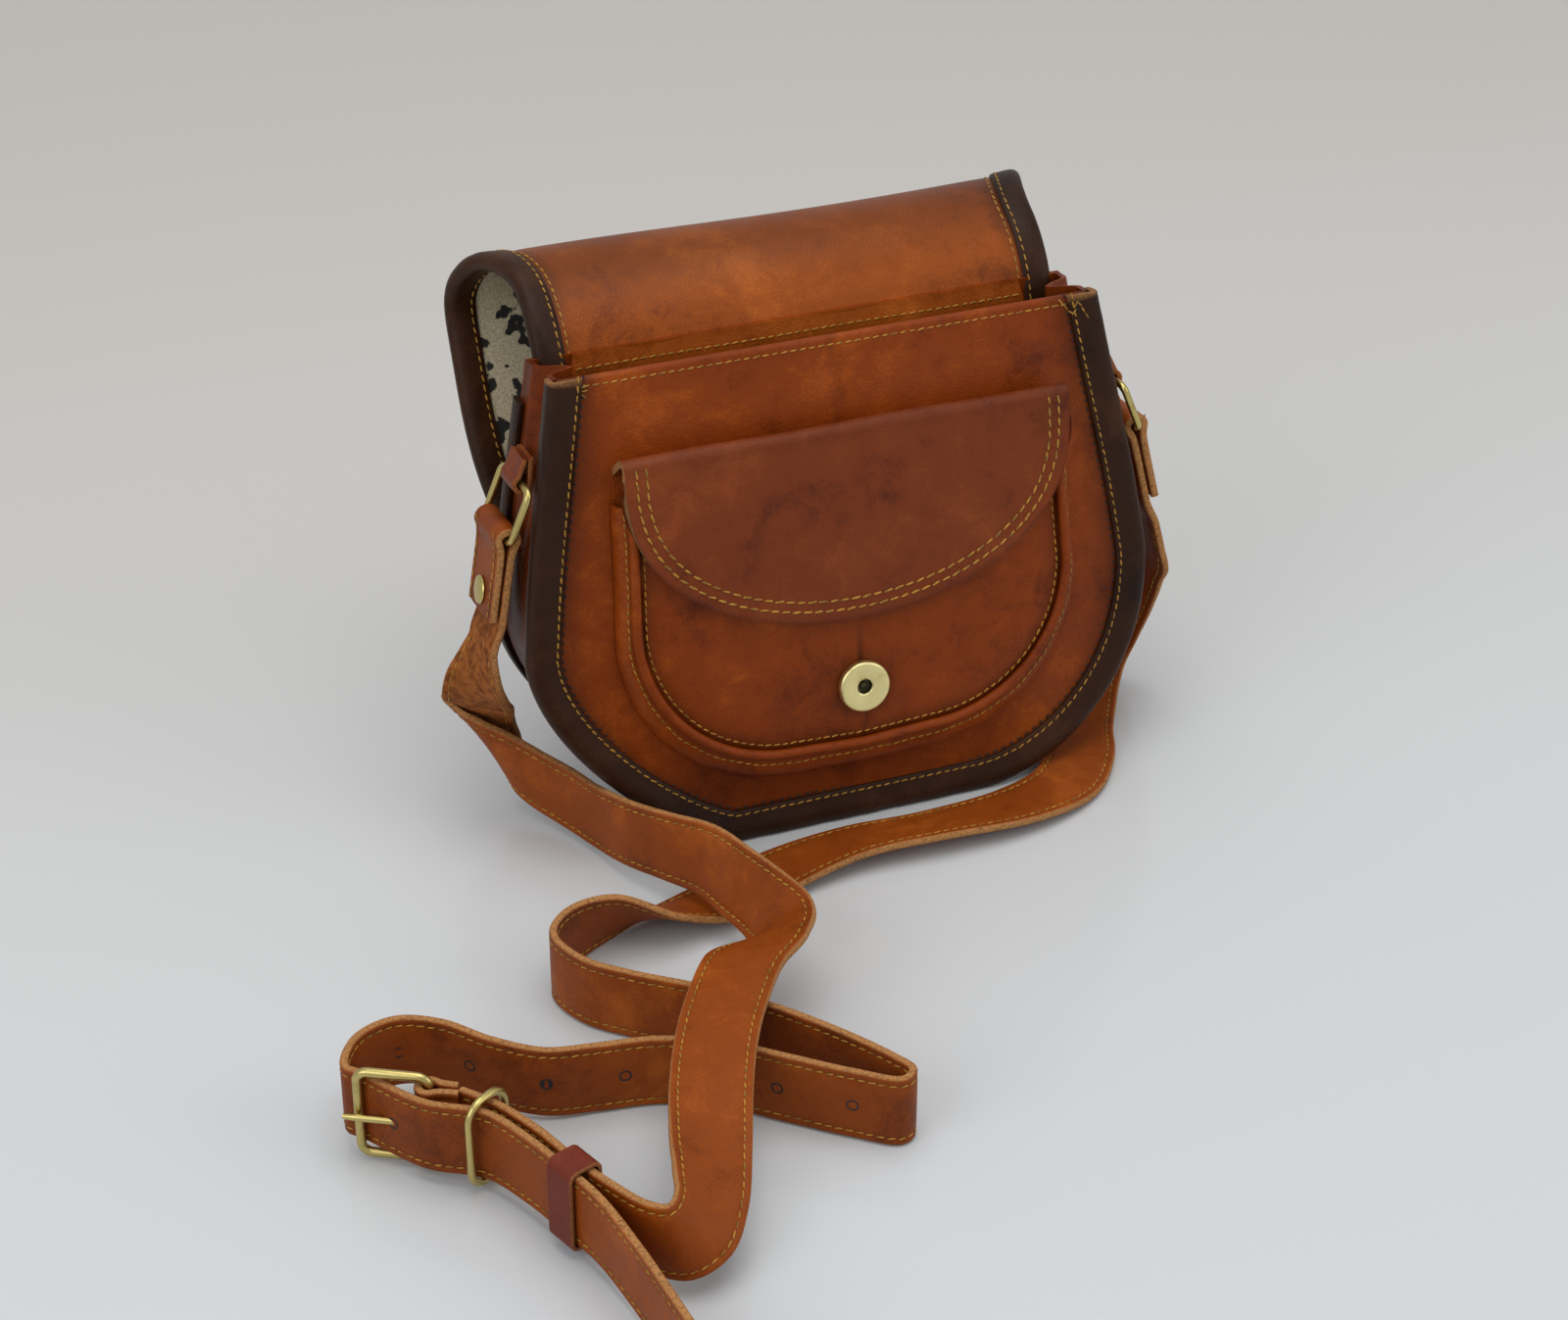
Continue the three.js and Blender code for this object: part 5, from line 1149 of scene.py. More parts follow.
facing_off = -FACING_FACE + 0.25 * np.sin(u / 11) + 1.3 * smooth(v_grid, 158, BACK_HEIGHT)
back_facing = piece(
    "back_facing_leather",
    *slab(on_back(u, v_grid, facing_off), on_back(u, v_grid, -FACING_BACK))[:3],
    amber,
)
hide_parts("back_facing")
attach(back_facing, "bag")
row = np.linspace(-78, 78, 120)
facing_line = on_back(row, FACING_STITCH_UP, -FACING_STITCH_OFF + 0.25 * np.sin(row / 11))
facing_thread = piece(
    "back_facing_thread", *stitches(facing_line, -back_way, **FACING_STITCH), mustard_thread
)
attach(facing_thread, "bag")


def plain_weave(name, lit, dark):
    """Plain cloth: two sets of threads, 0.7 mm apart, each rising where the other sinks."""
    material, tree, shader, place = new_material(name)
    warp, weft = (
        add_node(tree, "ShaderNodeTexWave", {"bands_direction": way}, Vector=place, Scale=440, Distortion=0.4)
        for way in ("X", "Z")
    )
    cloth = reckon(tree, "MULTIPLY", warp.outputs["Fac"], weft.outputs["Fac"])
    slub = add_node(tree, "ShaderNodeTexNoise", Vector=place, Scale=180, Detail=4)
    tone = reckon(tree, "MULTIPLY_ADD", slub.outputs[0], 0.5, reckon(tree, "MULTIPLY", cloth, 0.5))
    colour = ramp(tree, tone, (0.2, ink(dark)), (0.7, ink(lit)))
    bump = add_node(tree, "ShaderNodeBump", Strength=0.5, Distance=0.0003, Height=cloth)
    plug_all(tree, shader, Base_Color=colour, Roughness=0.88, Normal=bump.outputs[0])
    return material


lining_cloth = plain_weave("brown_lining_cloth", CLOTH_LIT, CLOTH_DARK)
LINING_LOW = 11.3
LINING_IN = 9.0
LINING_GAP = 0.3
LINING_FACE = 3.1
LINING_BACK = 2.4
for name, place, top_v, height in (
    ("front_lining", on_front, FRONT_HEIGHT - HEM_DEEP - LINING_GAP, FRONT_HEIGHT),
    ("back_lining", on_back, FACING_LOW - LINING_GAP, BACK_HEIGHT),
):
    v = LINING_LOW + (top_v - LINING_LOW) * np.linspace(0, 1, 50) ** 1.3
    left, right = sides_at(v, height, LINING_IN)
    drawn = GUSSET_PINCH * smooth(v, *PINCH_RISE)
    u = between(left + drawn, right - drawn, np.linspace(-1, 1, 60))
    v_grid = np.broadcast_to(v[:, None], u.shape)
    slack = 0.05 * np.sin(u / 13 + v_grid / 31) * smooth(v_grid, 20, 60)
    lining = piece(
        name + "_cloth",
        *slab(place(u, v_grid, -LINING_FACE + slack), place(u, v_grid, -LINING_BACK))[:3],
        lining_cloth,
    )
    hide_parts(name)
    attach(lining, "bag")

# Patch pocket: a soft box of cognac leather on the front. Its wall rolls out from the panel to a piped seam,
# and its front is a little crowned inside the seam, drawn in round the snap.
POCKET_DEEP = 12.0
PIPING = 1.7
POCKET_TOP = 129.0
POCKET_SEAM = {"width": 154, "bottom": 33, "corner": 52}
POCKET_FOOT = {"width": 164, "bottom": 23, "corner": 57}
POCKET_LEATHER = 1.6
POCKET_STITCH_IN = 3.4
WALL_STITCH_ROW = 4
POCKET_STITCH = {"pitch": 3.0, "length": 2.2, "wide": 0.58, "high": 0.5}
SEAM_COUNT = 220


def pocket_line(width, bottom, corner, count):
    """Down one side, a quarter circle, along the bottom with a slight sag, and up the other side."""
    w = width / 2
    a = np.linspace(0, math.pi / 2, 60)
    right = np.concatenate([
        [[0.97 * w, POCKET_TOP]],
        np.column_stack([w - corner * (1 - np.cos(a)), bottom + corner * (1 - np.sin(a))]),
        [[0, bottom - 1.2]],
    ])
    left = right[:-1] * (-1, 1)
    line = np.concatenate([left, right[::-1]])
    line = spaced(np.column_stack([line, np.zeros(len(line))]), count=count)[:, :2]
    tangent = unit(np.gradient(line, axis=0))
    return line, np.column_stack([tangent[:, 1], -tangent[:, 0]])


seam, seam_way = pocket_line(**POCKET_SEAM, count=SEAM_COUNT)
foot, _ = pocket_line(**POCKET_FOOT, count=SEAM_COUNT)
bead_off = POCKET_DEEP - 0.6 * PIPING


def pocket_wall(inner):
    """A quarter roll from the seam out to the foot: the way out grows as a sine and the height falls as a
    cosine, fuller than a circle, with small puckers along it. Inner is the distance inside the outer face."""
    t = np.linspace(0, 1, 18)[None, :] * math.pi / 2
    step = foot - seam
    reach = np.linalg.norm(step, axis=1)[:, None]
    number = np.arange(SEAM_COUNT)[:, None]
    pucker = 0.28 * np.sin(number * 0.55) + 0.35 * np.sin(number * 0.21 + 1)
    swell = (1.3 + 0.7 * pucker) * np.sin(2 * t) ** 0.9
    e = reach * np.sin(t) ** 1.15 + swell - inner * np.sin(t)
    off = (bead_off - 1.0 - 0.3) * np.cos(t) ** 0.85 + 0.3 - inner * np.cos(t)
    way_out = unit(step)
    u = seam[:, 0, None] + way_out[:, 0, None] * e
    v = seam[:, 1, None] + way_out[:, 1, None] * e
    return on_front(u, v, np.maximum(off, 0.2)), t


wall, turn = pocket_wall(0.0)
pocket_gusset = piece("pocket_gusset_leather", *slab(wall, pocket_wall(POCKET_LEATHER)[0])[:3], cognac)
# painted shade: darker where the wall turns under to the panel, and a little by the piped seam
wall_shade = smooth(turn, 1.1, 1.57) * 0.75 + (1 - smooth(turn, 0.0, 0.4)) * 0.35
mark(pocket_gusset, "painted_shade", both(np.broadcast_to(wall_shade, wall.shape[:2])))
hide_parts("pocket_gusset")
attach(pocket_gusset, "bag")

piping_path = on_front(seam[:, 0], seam[:, 1], bead_off - 0.1)
pocket_piping = piece(
    "pocket_piping_leather", *carried(piping_path, front_way, round_section(PIPING)), cognac
)
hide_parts("pocket_piping")
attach(pocket_piping, "bag")

SNAP_UP = 53.0
half = SEAM_COUNT // 2
inner_seam = seam - seam_way * 0.8
rows = np.linspace(0, 1, 70) ** 1.5
v = inner_seam[half, 1] + (POCKET_TOP - inner_seam[half, 1]) * rows
half_pocket = np.interp(v, inner_seam[half:, 1], inner_seam[half:, 0])
half_pocket[0] = 6.0
u = half_pocket[:, None] * spread[None]
v_grid = np.broadcast_to(v[:, None], u.shape)


def pocket_crown(u, v):
    """Height of the pocket's front: low at the seam, rising as an exponential of the distance from it, less a
    dent round the snap, an upright crease through the snap, and slack waves."""
    side = np.interp(v, inner_seam[half:, 1], inner_seam[half:, 0]) - np.abs(u)
    low = v - np.interp(np.abs(u), inner_seam[half:, 0], inner_seam[half:, 1])
    near = np.maximum(np.minimum(side, low), 0)
    lift = 1 - np.exp(-near / 6.5)
    dent = 0.5 * np.exp(-((u / 13) ** 2) - ((v - SNAP_UP) / 13) ** 2)
    bent = u - 0.9 - 0.8 * np.sin(v / 6)
    crease = 0.65 * np.exp(-((bent / 0.9) ** 2)) * np.exp(-(((v - 58) / 26) ** 2))
    wave = 0.3 * np.sin(u / 15 + 0.4) * np.sin(v / 12 + 0.8) * lift
    return POCKET_DEEP - 2.7 + 2.95 * lift - dent - crease + wave * (v < 80), near, crease


off, near, crease = pocket_crown(u, v_grid)
top = on_front(u, v_grid, off)
pocket_front = piece(
    "pocket_front_leather", *slab(top, on_front(u, v_grid, off - POCKET_LEATHER))[:3], cognac
)
# painted shade: darker just inside the seam, along the crease through the snap and in a ring round the snap
ring_shade = 0.3 * np.exp(-((np.hypot(u, v_grid - SNAP_UP) - 9) / 3.5) ** 2)
front_shade = 0.5 * (1 - smooth(near, 0, 9)) + 0.8 * crease + ring_shade
mark(pocket_front, "painted_shade", both(np.clip(front_shade, 0, 0.8)))
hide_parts("pocket_front")
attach(pocket_front, "bag")

inside = seam - seam_way * POCKET_STITCH_IN
inside_off = pocket_crown(inside[:, 0], inside[:, 1])[0] + 0.05
wall_way = grid_normals(wall, front_way)[:, WALL_STITCH_ROW]
pocket_thread = piece(
    "pocket_thread",
    *joined([
        stitches(on_front(inside[:, 0], inside[:, 1], inside_off), front_way, **POCKET_STITCH),
        stitches(wall[:, WALL_STITCH_ROW] + 0.1 * wall_way, wall_way, **POCKET_STITCH),
    ]),
    mustard_thread,
)
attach(pocket_thread, "bag")

# Pocket flap: a half moon of darker red-brown leather, sewn to the panel above the pocket, folded over the
# pocket's mouth and hanging free. Its cut edge shows pale, and two rows of stitches follow it.
RED_LIT = (136, 66, 30)
RED_MID = (116, 52, 22)
RED_DARK = (72, 30, 18)
RED_EDGE_LIT = (172, 122, 78)
RED_EDGE_MID = (146, 98, 60)
RED_EDGE_DARK = (110, 70, 42)
FLAP_LEATHER = 2.4
FOLD_UP = 145.0
FOLD_OFF = 14.18
FOLD_ROUND = 3.4
FOLD_RUN = FOLD_ROUND * math.pi / 2
FLAP_HALF = 78.0
FLAP_ROOT = 11.4
SIDE_DROP = 4.0
MIDDLE_DROP = 60.0
POCKET_FLAP_ROWS = (3.8, 7.2)
POCKET_FLAP_STITCH = {"pitch": 3.9, "length": 3.0, "wide": 0.8, "high": 0.6}
red_leather = leather("red_flap_leather", RED_LIT, RED_MID, RED_DARK, gloss=0.4)
red_edge = leather("red_flap_edge", RED_EDGE_LIT, RED_EDGE_MID, RED_EDGE_DARK, gloss=0.6)


def pocket_flap_drop(x):
    """Length of the hanging part at each place across: 4 at the ends, growing as (1 - x^2)^0.4."""
    return SIDE_DROP + MIDDLE_DROP * np.clip(1 - (np.asarray(x, float) / FLAP_HALF) ** 2, 0, 1) ** 0.4


def pocket_flap_place(x, s, lift=0.0):
    """The flap's outer face: s below 0 falls in to the panel, a quarter round of 3.4 mm makes the fold, and
    the rest hangs before the pocket, with a faint crown, a dimple in the middle and a slight curl at the
    edge."""
    x, s = np.broadcast_arrays(np.asarray(x, float), np.asarray(s, float))
    a = np.clip(s / FOLD_RUN, 0, 1) * math.pi / 2
    hang = np.clip(s - FOLD_RUN, 0, None)
    out = np.clip(-s, 0, None)
    off = FOLD_OFF + FLAP_LEATHER / 2 - FOLD_ROUND + FOLD_ROUND * np.sin(a) - out
    v = FOLD_UP + FLAP_LEATHER / 2 - FOLD_ROUND * (1 - np.cos(a)) - hang
    v = v - 0.62 * (np.sqrt(out**2 + 4) - 2)
    drop = pocket_flap_drop(x)
    left = np.clip(1 - hang / drop, 0, 1)
    crown = 0.9 * np.sin(math.pi * np.clip(hang / drop, 0, 1)) * (1 - (x / FLAP_HALF) ** 2)
    dimple = 0.55 * np.exp(-(((x - 1) / 3.2) ** 2) - ((hang - 22) / 9) ** 2)
    fold_line = 0.35 * np.exp(-(((x + 2) / 1.4) ** 2)) * np.exp(-hang / 16)
    sway = 0.35 * np.sin(x / 17 + 1) * np.sin(math.pi * np.clip(hang / 30, 0, 1))
    curl = 0.5 * (1 - smooth(left, 0, 0.2)) * smooth(hang, 6, 20)
    lump = (crown - dimple - fold_line + sway + curl) * smooth(hang, 0, 7)
    off = off + (lump + lift) * np.sin(a)
    v = v + lift * np.cos(a) + 0.25 * np.sin(x / 12) * (1 - np.sin(a))
    return on_front(x, v, off), hang, left


x = FLAP_HALF * np.sin(np.linspace(-1, 1, 121) * math.pi / 2)
over_fold = np.concatenate([np.linspace(-FLAP_ROOT, -1, 10), np.linspace(0, FOLD_RUN, 8)])[:, None]
hang = np.linspace(0, 1, 48)[1:, None]
s = np.concatenate([over_fold * np.ones((1, len(x))), FOLD_RUN + hang * pocket_flap_drop(x)[None]])
top, hung, left = pocket_flap_place(x[None], s)
normal = grid_normals(top, front_way)
normal[:, 0] = normal[:, 1]
normal[:, -1] = normal[:, -2]
points, quads, ends, parts = slab(top, top - normal * FLAP_LEATHER)
pocket_flap = piece("pocket_flap_leather", points, quads, ends, red_leather, red_edge, parts=parts == 2)
# painted shade: darker along the hanging rim and in the fold where the flap meets the panel
rim_near = (1 - smooth(left * pocket_flap_drop(x)[None], 0.2, 2.2)) * (hung > 0)
fold_dark = 0.2 * np.exp(-((s - FOLD_RUN / 2) / 4) ** 2)
mark(pocket_flap, "painted_shade", both(np.clip(0.35 * rim_near + fold_dark, 0, 0.7)))
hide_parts("pocket_flap", "pocket_flap_top")
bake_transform(pocket_flap)

angle = np.linspace(0.06, math.pi - 0.06, 300)
rim_x = -FLAP_HALF * np.cos(angle)
rim = np.column_stack([rim_x, FOLD_RUN + pocket_flap_drop(rim_x), np.zeros(len(rim_x))])
rim = spaced(rim, count=len(rim_x))[:, :2]
rim_t = unit(np.gradient(rim, axis=0))
rim_in = np.column_stack([rim_t[:, 1], -rim_t[:, 0]])
rim_in = rim_in * np.sign(np.sum(rim_in * (np.array([0, 20]) - rim), axis=1))[:, None]
rows = []
for inset in POCKET_FLAP_ROWS:
    lane = rim + rim_in * inset
    lane = lane[(lane[:, 1] > FOLD_RUN + 1) & (np.abs(lane[:, 0]) < FLAP_HALF - 2)]
    up_side = np.linspace(FOLD_RUN + 1, lane[0, 1], 8)[:-1]
    left_side = np.column_stack([np.full_like(up_side, lane[0, 0]), up_side])
    right_side = np.column_stack([np.full_like(up_side, lane[-1, 0]), up_side])[::-1]
    lane = np.concatenate([left_side, lane, right_side])
    line = pocket_flap_place(lane[:, 0], lane[:, 1], 0.08)[0]
    rows.append(stitches(line, front_way, **POCKET_FLAP_STITCH))
pocket_flap_thread = piece("pocket_flap_thread", *joined(rows), mustard_thread)
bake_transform(pocket_flap_thread)

# Magnetic snap on the pocket: a turned brass socket with a dished face and a dark hole, clinched through the
# leather to a plain washer inside. The brass in the hole is painted darker as painted shade.
# painted highlight: the socket's brass is lighter than the other brass, for the bright reflection on its face
SNAP_BRASS_PAINTED_BRIGHT = (238, 224, 160)
SNAP_BRASS_PAINTED_BRIGHT_DULL = (206, 188, 124)
# painted shade: darker brass for the inside of the hole
HOLE_BRASS = (84, 78, 54)
HOLE_BRASS_DULL = (46, 42, 30)
SNAP_HOLE = 2.75
SNAP_PROUD = 0.25
WASHER_IN = 2.1
SNAP_SIDES = 64
WASHER_SIDES = 40
socket_profile = [
    (0.03, 0.0), (9.0, 0.0), (9.05, 1.0), (9.0, 1.9), (8.8, 2.45), (8.4, 2.75), (7.9, 2.85), (6.4, 2.8),
    (4.6, 2.55), (3.4, 2.35), (2.9, 2.3), (2.6, 2.1), (2.4, 1.2), (2.3, 0.5), (1.3, 0.45), (1.25, 0.9),
    (1.0, 1.1), (0.03, 1.15),
]
washer_profile = [(0.03, 0.0), (6.8, 0.0), (7.0, 0.15), (7.0, 0.6), (6.8, 0.8), (2.0, 0.8), (0.03, 0.5)]
snap_brass_painted_bright = metal("snap_brass_painted_bright", SNAP_BRASS_PAINTED_BRIGHT, SNAP_BRASS_PAINTED_BRIGHT_DULL, rough=0.34)
shaded_brass = metal("shaded_brass", HOLE_BRASS, HOLE_BRASS_DULL, rough=0.5)
snap_at = on_front(0, SNAP_UP, POCKET_DEEP + SNAP_PROUD)
points, quads, ends = turned(socket_profile, snap_at, front_way, SNAP_SIDES)
hub = np.linalg.norm(np.cross(points - snap_at, front_way), axis=1)
in_hole = np.append(hub[quads].max(axis=1) < SNAP_HOLE, np.ones(len(ends), bool))
snap_socket = piece("snap_socket_brass", points, quads, ends, snap_brass_painted_bright, shaded_brass, parts=in_hole)
mark(snap_socket, "radius", np.repeat([r for r, _ in socket_profile], SNAP_SIDES))
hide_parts("snap_socket")
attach(snap_socket, "bag")
washer_at = on_front(0, SNAP_UP, POCKET_DEEP - WASHER_IN)
snap_washer = piece(
    "snap_socket_washer_brass", *turned(washer_profile, washer_at, -front_way, WASHER_SIDES), brushed_brass
)
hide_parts("snap_socket_washer")
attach(snap_washer, "bag")

# Main flap: leather on its inside, short-haired spotted hide on its outside, sewn to the back panel and
# thrown open over the back, so that it rolls over and hangs behind. It is one sheet, bent at four folds;
# each quarter runs from the middle of one stiff strip to the middle of the next.
FLAP_THICK = 3.0
SKIRT_LENGTH = 135.69
SKIRT_HALF = 104.0
SKIRT_SIDE = 29.48
SKIRT_TURN = 0.72
ROLL_HALF = 90.0
BEND_TAIL = 13.0
SEWN_RUN = 10.0
SHEET_IN = 0.6
HAIR_LIT = (206, 196, 166)
HAIR_DARK = (158, 142, 108)
SPOT = (24, 20, 18)
FLAP_ROWS = ((6.4, 2.72), (9.6, 1.58), (6.4, -2.72))
FLAP_STITCH = {"pitch": 3.3, "length": 2.3, "wide": 0.6, "high": 0.5}
HINGES = np.array([(33.096, 164.752), (51.481, 183.137), (77.465, 184.044), (93.472, 163.556)])
SKIRT_WAY = np.array([math.sin(math.radians(206)), math.cos(math.radians(206))])
flap_start = HINGES[0] - SEWN_RUN * np.array([math.sin(BACK_LEAN), math.cos(BACK_LEAN)])
middles = (HINGES[:-1] + HINGES[1:]) / 2
knots = np.array([flap_start, *middles, HINGES[3] + BEND_TAIL * SKIRT_WAY])
t = np.linspace(0, 1, 60)[:, None]
bends = [
    (1 - t) ** 2 * knots[k] + 2 * (1 - t) * t * HINGES[k] + t**2 * knots[k + 1] for k in range(4)
]
tail = knots[4] + t * SKIRT_WAY * (SKIRT_LENGTH - BEND_TAIL)
chain = np.concatenate([bends[0], *(b[1:] for b in bends[1:]), tail[1:]])
chain_run = run_of(chain)
joints_at = chain_run[:: len(t) - 1][:5]
chain_way = unit(np.gradient(chain, axis=0))
skirt_side_at = joints_at[4] - BEND_TAIL + SKIRT_SIDE


def on_flap(x, s, n):
    """A place on the flap: s along the bent middle line from the back panel, n towards the leather side."""
    x, s, n = np.broadcast_arrays(*(np.asarray(k, float) for k in (x, s, n)))
    y, z, wy, wz = (np.interp(s, chain_run, column) for column in (*chain.T, *chain_way.T))
    size = np.hypot(wy, wz)
    wy, wz = wy / size, wz / size
    sag = 1.3 * np.sin(x / 31 + 0.7) * np.sin(s / 16) * smooth(s, 14, 40) * (1 - 0.6 * smooth(s, 90, 130))
    n = n + sag * (1 - smooth(np.abs(x), 80, 96))
    return np.stack([x, y - wz * n, z + wy * n], axis=-1)


def flap_way(s):
    """The leather side's way out of the flap at s."""
    wy, wz = (np.interp(s, chain_run, column) for column in chain_way.T)
    return unit(np.stack([np.zeros_like(wy), -wz, wy], axis=-1))


def flap_half(s):
    """Half the flap's width: 90 at the back panel and over the roll, eased out to 104 at the skirt."""
    return ROLL_HALF + (SKIRT_HALF - ROLL_HALF) * smooth(np.asarray(s, float), 32, 86)


def skirt_end(x):
    """Length along the flap at which the skirt's round end lies, from the middle to each side."""
    c = np.clip(np.abs(np.asarray(x, float)) / SKIRT_HALF, 0, 1) ** (1 / SKIRT_TURN)
    return skirt_side_at + (SKIRT_LENGTH - SKIRT_SIDE) * np.clip(1 - c**2, 0, 1) ** 0.4


def spotted_hide(name):
    """Short hair with dark spots: broken rings and blots about 12 mm apart on cream, their middles tawny."""
    material, tree, shader, place = new_material(name)
    wobble = add_node(tree, "ShaderNodeTexNoise", Vector=place, Scale=130, Detail=3)
    bent = add_node(tree, "ShaderNodeMix", {"data_type": "VECTOR"})
    bent.inputs[0].default_value = 0.011
    tree.links.new(place, bent.inputs[4])
    tree.links.new(wobble.outputs["Color"], bent.inputs[5])
    cell = add_node(tree, "ShaderNodeTexVoronoi", Vector=bent.outputs[1], Scale=84, Randomness=0.9)
    gap = add_node(tree, "ShaderNodeTexNoise", Vector=place, Scale=210, Detail=2)
    size = reckon(tree, "MULTIPLY_ADD", gap.outputs[0], 0.55, cell.outputs["Distance"])
    dark, clear = (1, 1, 1, 1), (0, 0, 0, 1)
    spots = ramp(tree, size, (0.36, (0.3, 0.3, 0.3, 1)), (0.42, dark), (0.64, dark), (0.69, clear))
    hair = add_node(tree, "ShaderNodeTexNoise", Vector=place, Scale=1500, Detail=4, Roughness=0.7)
    cream = ramp(tree, hair.outputs[0], (0.3, ink(HAIR_DARK)), (0.65, ink(HAIR_LIT)))
    colour = tint(tree, spots, cream, ink(SPOT))
    bump = add_node(tree, "ShaderNodeBump", Strength=0.6, Distance=0.0006, Height=hair.outputs[0])
    plug_all(tree, shader, Base_Color=colour, Roughness=0.7, Normal=bump.outputs[0])
    return material


hide = spotted_hide("spotted_hide")
FLAP_NODES = (
    ("flap_strip_1",),
    ("flap_strip_2",),
    ("flap_strip_3",),
    ("flap_skirt_lining", "flap_skirt_hide"),
)
EDGE_NODES = (
    ("flap_binding_left_1", "flap_binding_right_1"),
    ("flap_binding_left_2", "flap_binding_right_2"),
    ("flap_binding_left_3", "flap_binding_right_3"),
    ("flap_binding_skirt",),
)
EDGE_SECTION = np.array([
    (-8.0, 1.55), (-8.1, 2.1), (-7.6, 2.55), (-5.5, 2.85), (-3, 3.2), (-0.8, 3.3), (0.8, 2.9), (1.9, 1.9),
    (2.35, 0.6), (2.35, -0.6), (1.9, -1.9), (0.8, -2.9), (-0.8, -3.3), (-3, -3.2), (-5.5, -2.85),
    (-7.6, -2.55), (-8.1, -2.1), (-8.0, -1.55),
])


def edge_out(line):
    """The way out of the flap at each place of a line of x and s along its edge: square to the line, and away
    from the third fold's middle."""
    t = unit(np.gradient(line, axis=0))
    out = np.column_stack([-t[:, 1], t[:, 0]])
    return out * np.sign(np.sum(out * (line - np.array([0.0, joints_at[3]])), axis=1) + 1e-9)[:, None]


def flap_edge(line):
    """The binding's section carried along a line of x and s on the flap, out in the sheet and up off it."""
    out = edge_out(line)
    o = EDGE_SECTION[None, :, 0]
    x = line[:, 0, None] + out[:, 0, None] * o
    s = line[:, 1, None] + out[:, 1, None] * o
    quads, ends = tube_faces(len(line), len(EDGE_SECTION))
    return on_flap(x, s, EDGE_SECTION[None, :, 1]).reshape(-1, 3), quads, ends


def flap_lane(line, inset, n):
    """A line of places inside the flap's edge, with the way out of the sheet, for thread."""
    lane = line - edge_out(line) * inset
    return on_flap(lane[:, 0], lane[:, 1], n), flap_way(lane[:, 1]) * np.sign(n)


columns = np.sin(np.linspace(-1, 1, 121) * math.pi / 2)[None]
for k in range(4):
    low, high = joints_at[k], joints_at[k + 1]
    bend_rows = np.linspace(low, high, 40)
    s = bend_rows[:, None] * np.ones_like(columns)
    if k < 3:
        x = columns * (flap_half(s) - SHEET_IN)
        lines = [np.column_stack([sign * flap_half(bend_rows), bend_rows]) for sign in (-1, 1)]
    else:
        x = columns * (SKIRT_HALF - SHEET_IN)
        rest = np.linspace(0, 1, 46)[1:, None]
        s = np.concatenate([s, high + rest * (skirt_end(x) - SHEET_IN - high)])
        x = np.broadcast_to(x, s.shape)
        straight = np.linspace(high, skirt_end(SKIRT_HALF), 8)[:-1]
        s_line = np.concatenate([np.linspace(low, high, 30)[:-1], straight])
        a = np.linspace(0, math.pi, 140)
        round_x = -SKIRT_HALF * np.sign(np.cos(a)) * np.abs(np.cos(a)) ** SKIRT_TURN
        round_s = skirt_side_at + (SKIRT_LENGTH - SKIRT_SIDE) * np.sin(a) ** 0.8
        left_side = np.column_stack([-flap_half(s_line), s_line])
        right_side = np.column_stack([flap_half(s_line), s_line])[::-1]
        whole = np.concatenate([left_side, np.column_stack([round_x, round_s]), right_side])
        lines = [spaced(np.column_stack([whole, np.zeros(len(whole))]), 2.0)[:, :2]]

    points, quads, ends, parts = slab(on_flap(x, s, FLAP_THICK / 2), on_flap(x, s, -FLAP_THICK / 2))
    sheet = piece(f"flap_leather_{k + 1}", points, quads, ends, amber, hide, parts=parts == 1)
    # painted shade: darker beside the bindings, and over the roll, whose top is painted down against the
    # light from above
    over_roll = smooth(s, 16, 40) * (1 - smooth(s, 84, 120))
    flap_shade = 0.4 * (1 - smooth(flap_half(s) - np.abs(x), 7, 16)) + 0.5 * over_roll
    mark(sheet, "painted_shade", both(np.clip(flap_shade, 0, 0.7)))
    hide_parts(*FLAP_NODES[k])
    edge = piece(f"flap_binding_{k + 1}", *joined([flap_edge(line) for line in lines]), dark_leather)
    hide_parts(*EDGE_NODES[k])
    rows = [
        stitches(*flap_lane(line, inset, n), **FLAP_STITCH)
        for line in lines
        for inset, n in FLAP_ROWS
    ]
    thread = piece(f"flap_thread_{k + 1}", *joined(rows), mustard_thread)
    a = on_flap(0.0, low + 2, 0.0) / 1000
    for part in (sheet, edge, thread):
        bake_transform(part)

# Magnetic snap on the flap: a turned brass stud on the leather side of the skirt, clinched through both
# layers to a plain washer on the hide side. It comes over the pocket's socket when the flap is shut.
STUD_AT = SKIRT_LENGTH - 22.45
skirt_out = np.array([0, -SKIRT_WAY[1], SKIRT_WAY[0]])
stud_seat = np.array([0, *(HINGES[3] + STUD_AT * SKIRT_WAY)])
stud_off = skirt_out * (FLAP_THICK / 2 + SNAP_PROUD)
stud_profile = [
    (0.03, 0.0), (9.0, 0.0), (9.05, 0.8), (8.9, 1.7), (8.4, 2.2), (7.6, 2.4), (5.2, 2.45), (3.0, 2.4),
    (2.2, 2.4), (2.0, 2.6), (1.6, 2.6), (0.03, 2.6),
]
snap_stud = piece(
    "snap_stud_brass", *turned(stud_profile, stud_seat + stud_off, skirt_out, SNAP_SIDES), brushed_brass
)
mark(snap_stud, "radius", np.repeat([r for r, _ in stud_profile], SNAP_SIDES))
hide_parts("snap_stud")
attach(snap_stud, "flap_d")
stud_washer = piece(
    "snap_stud_washer_brass",
    *turned(washer_profile, stud_seat - stud_off, -skirt_out, WASHER_SIDES),
    brushed_brass,
)
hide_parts("snap_stud_washer")
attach(stud_washer, "flap_d")

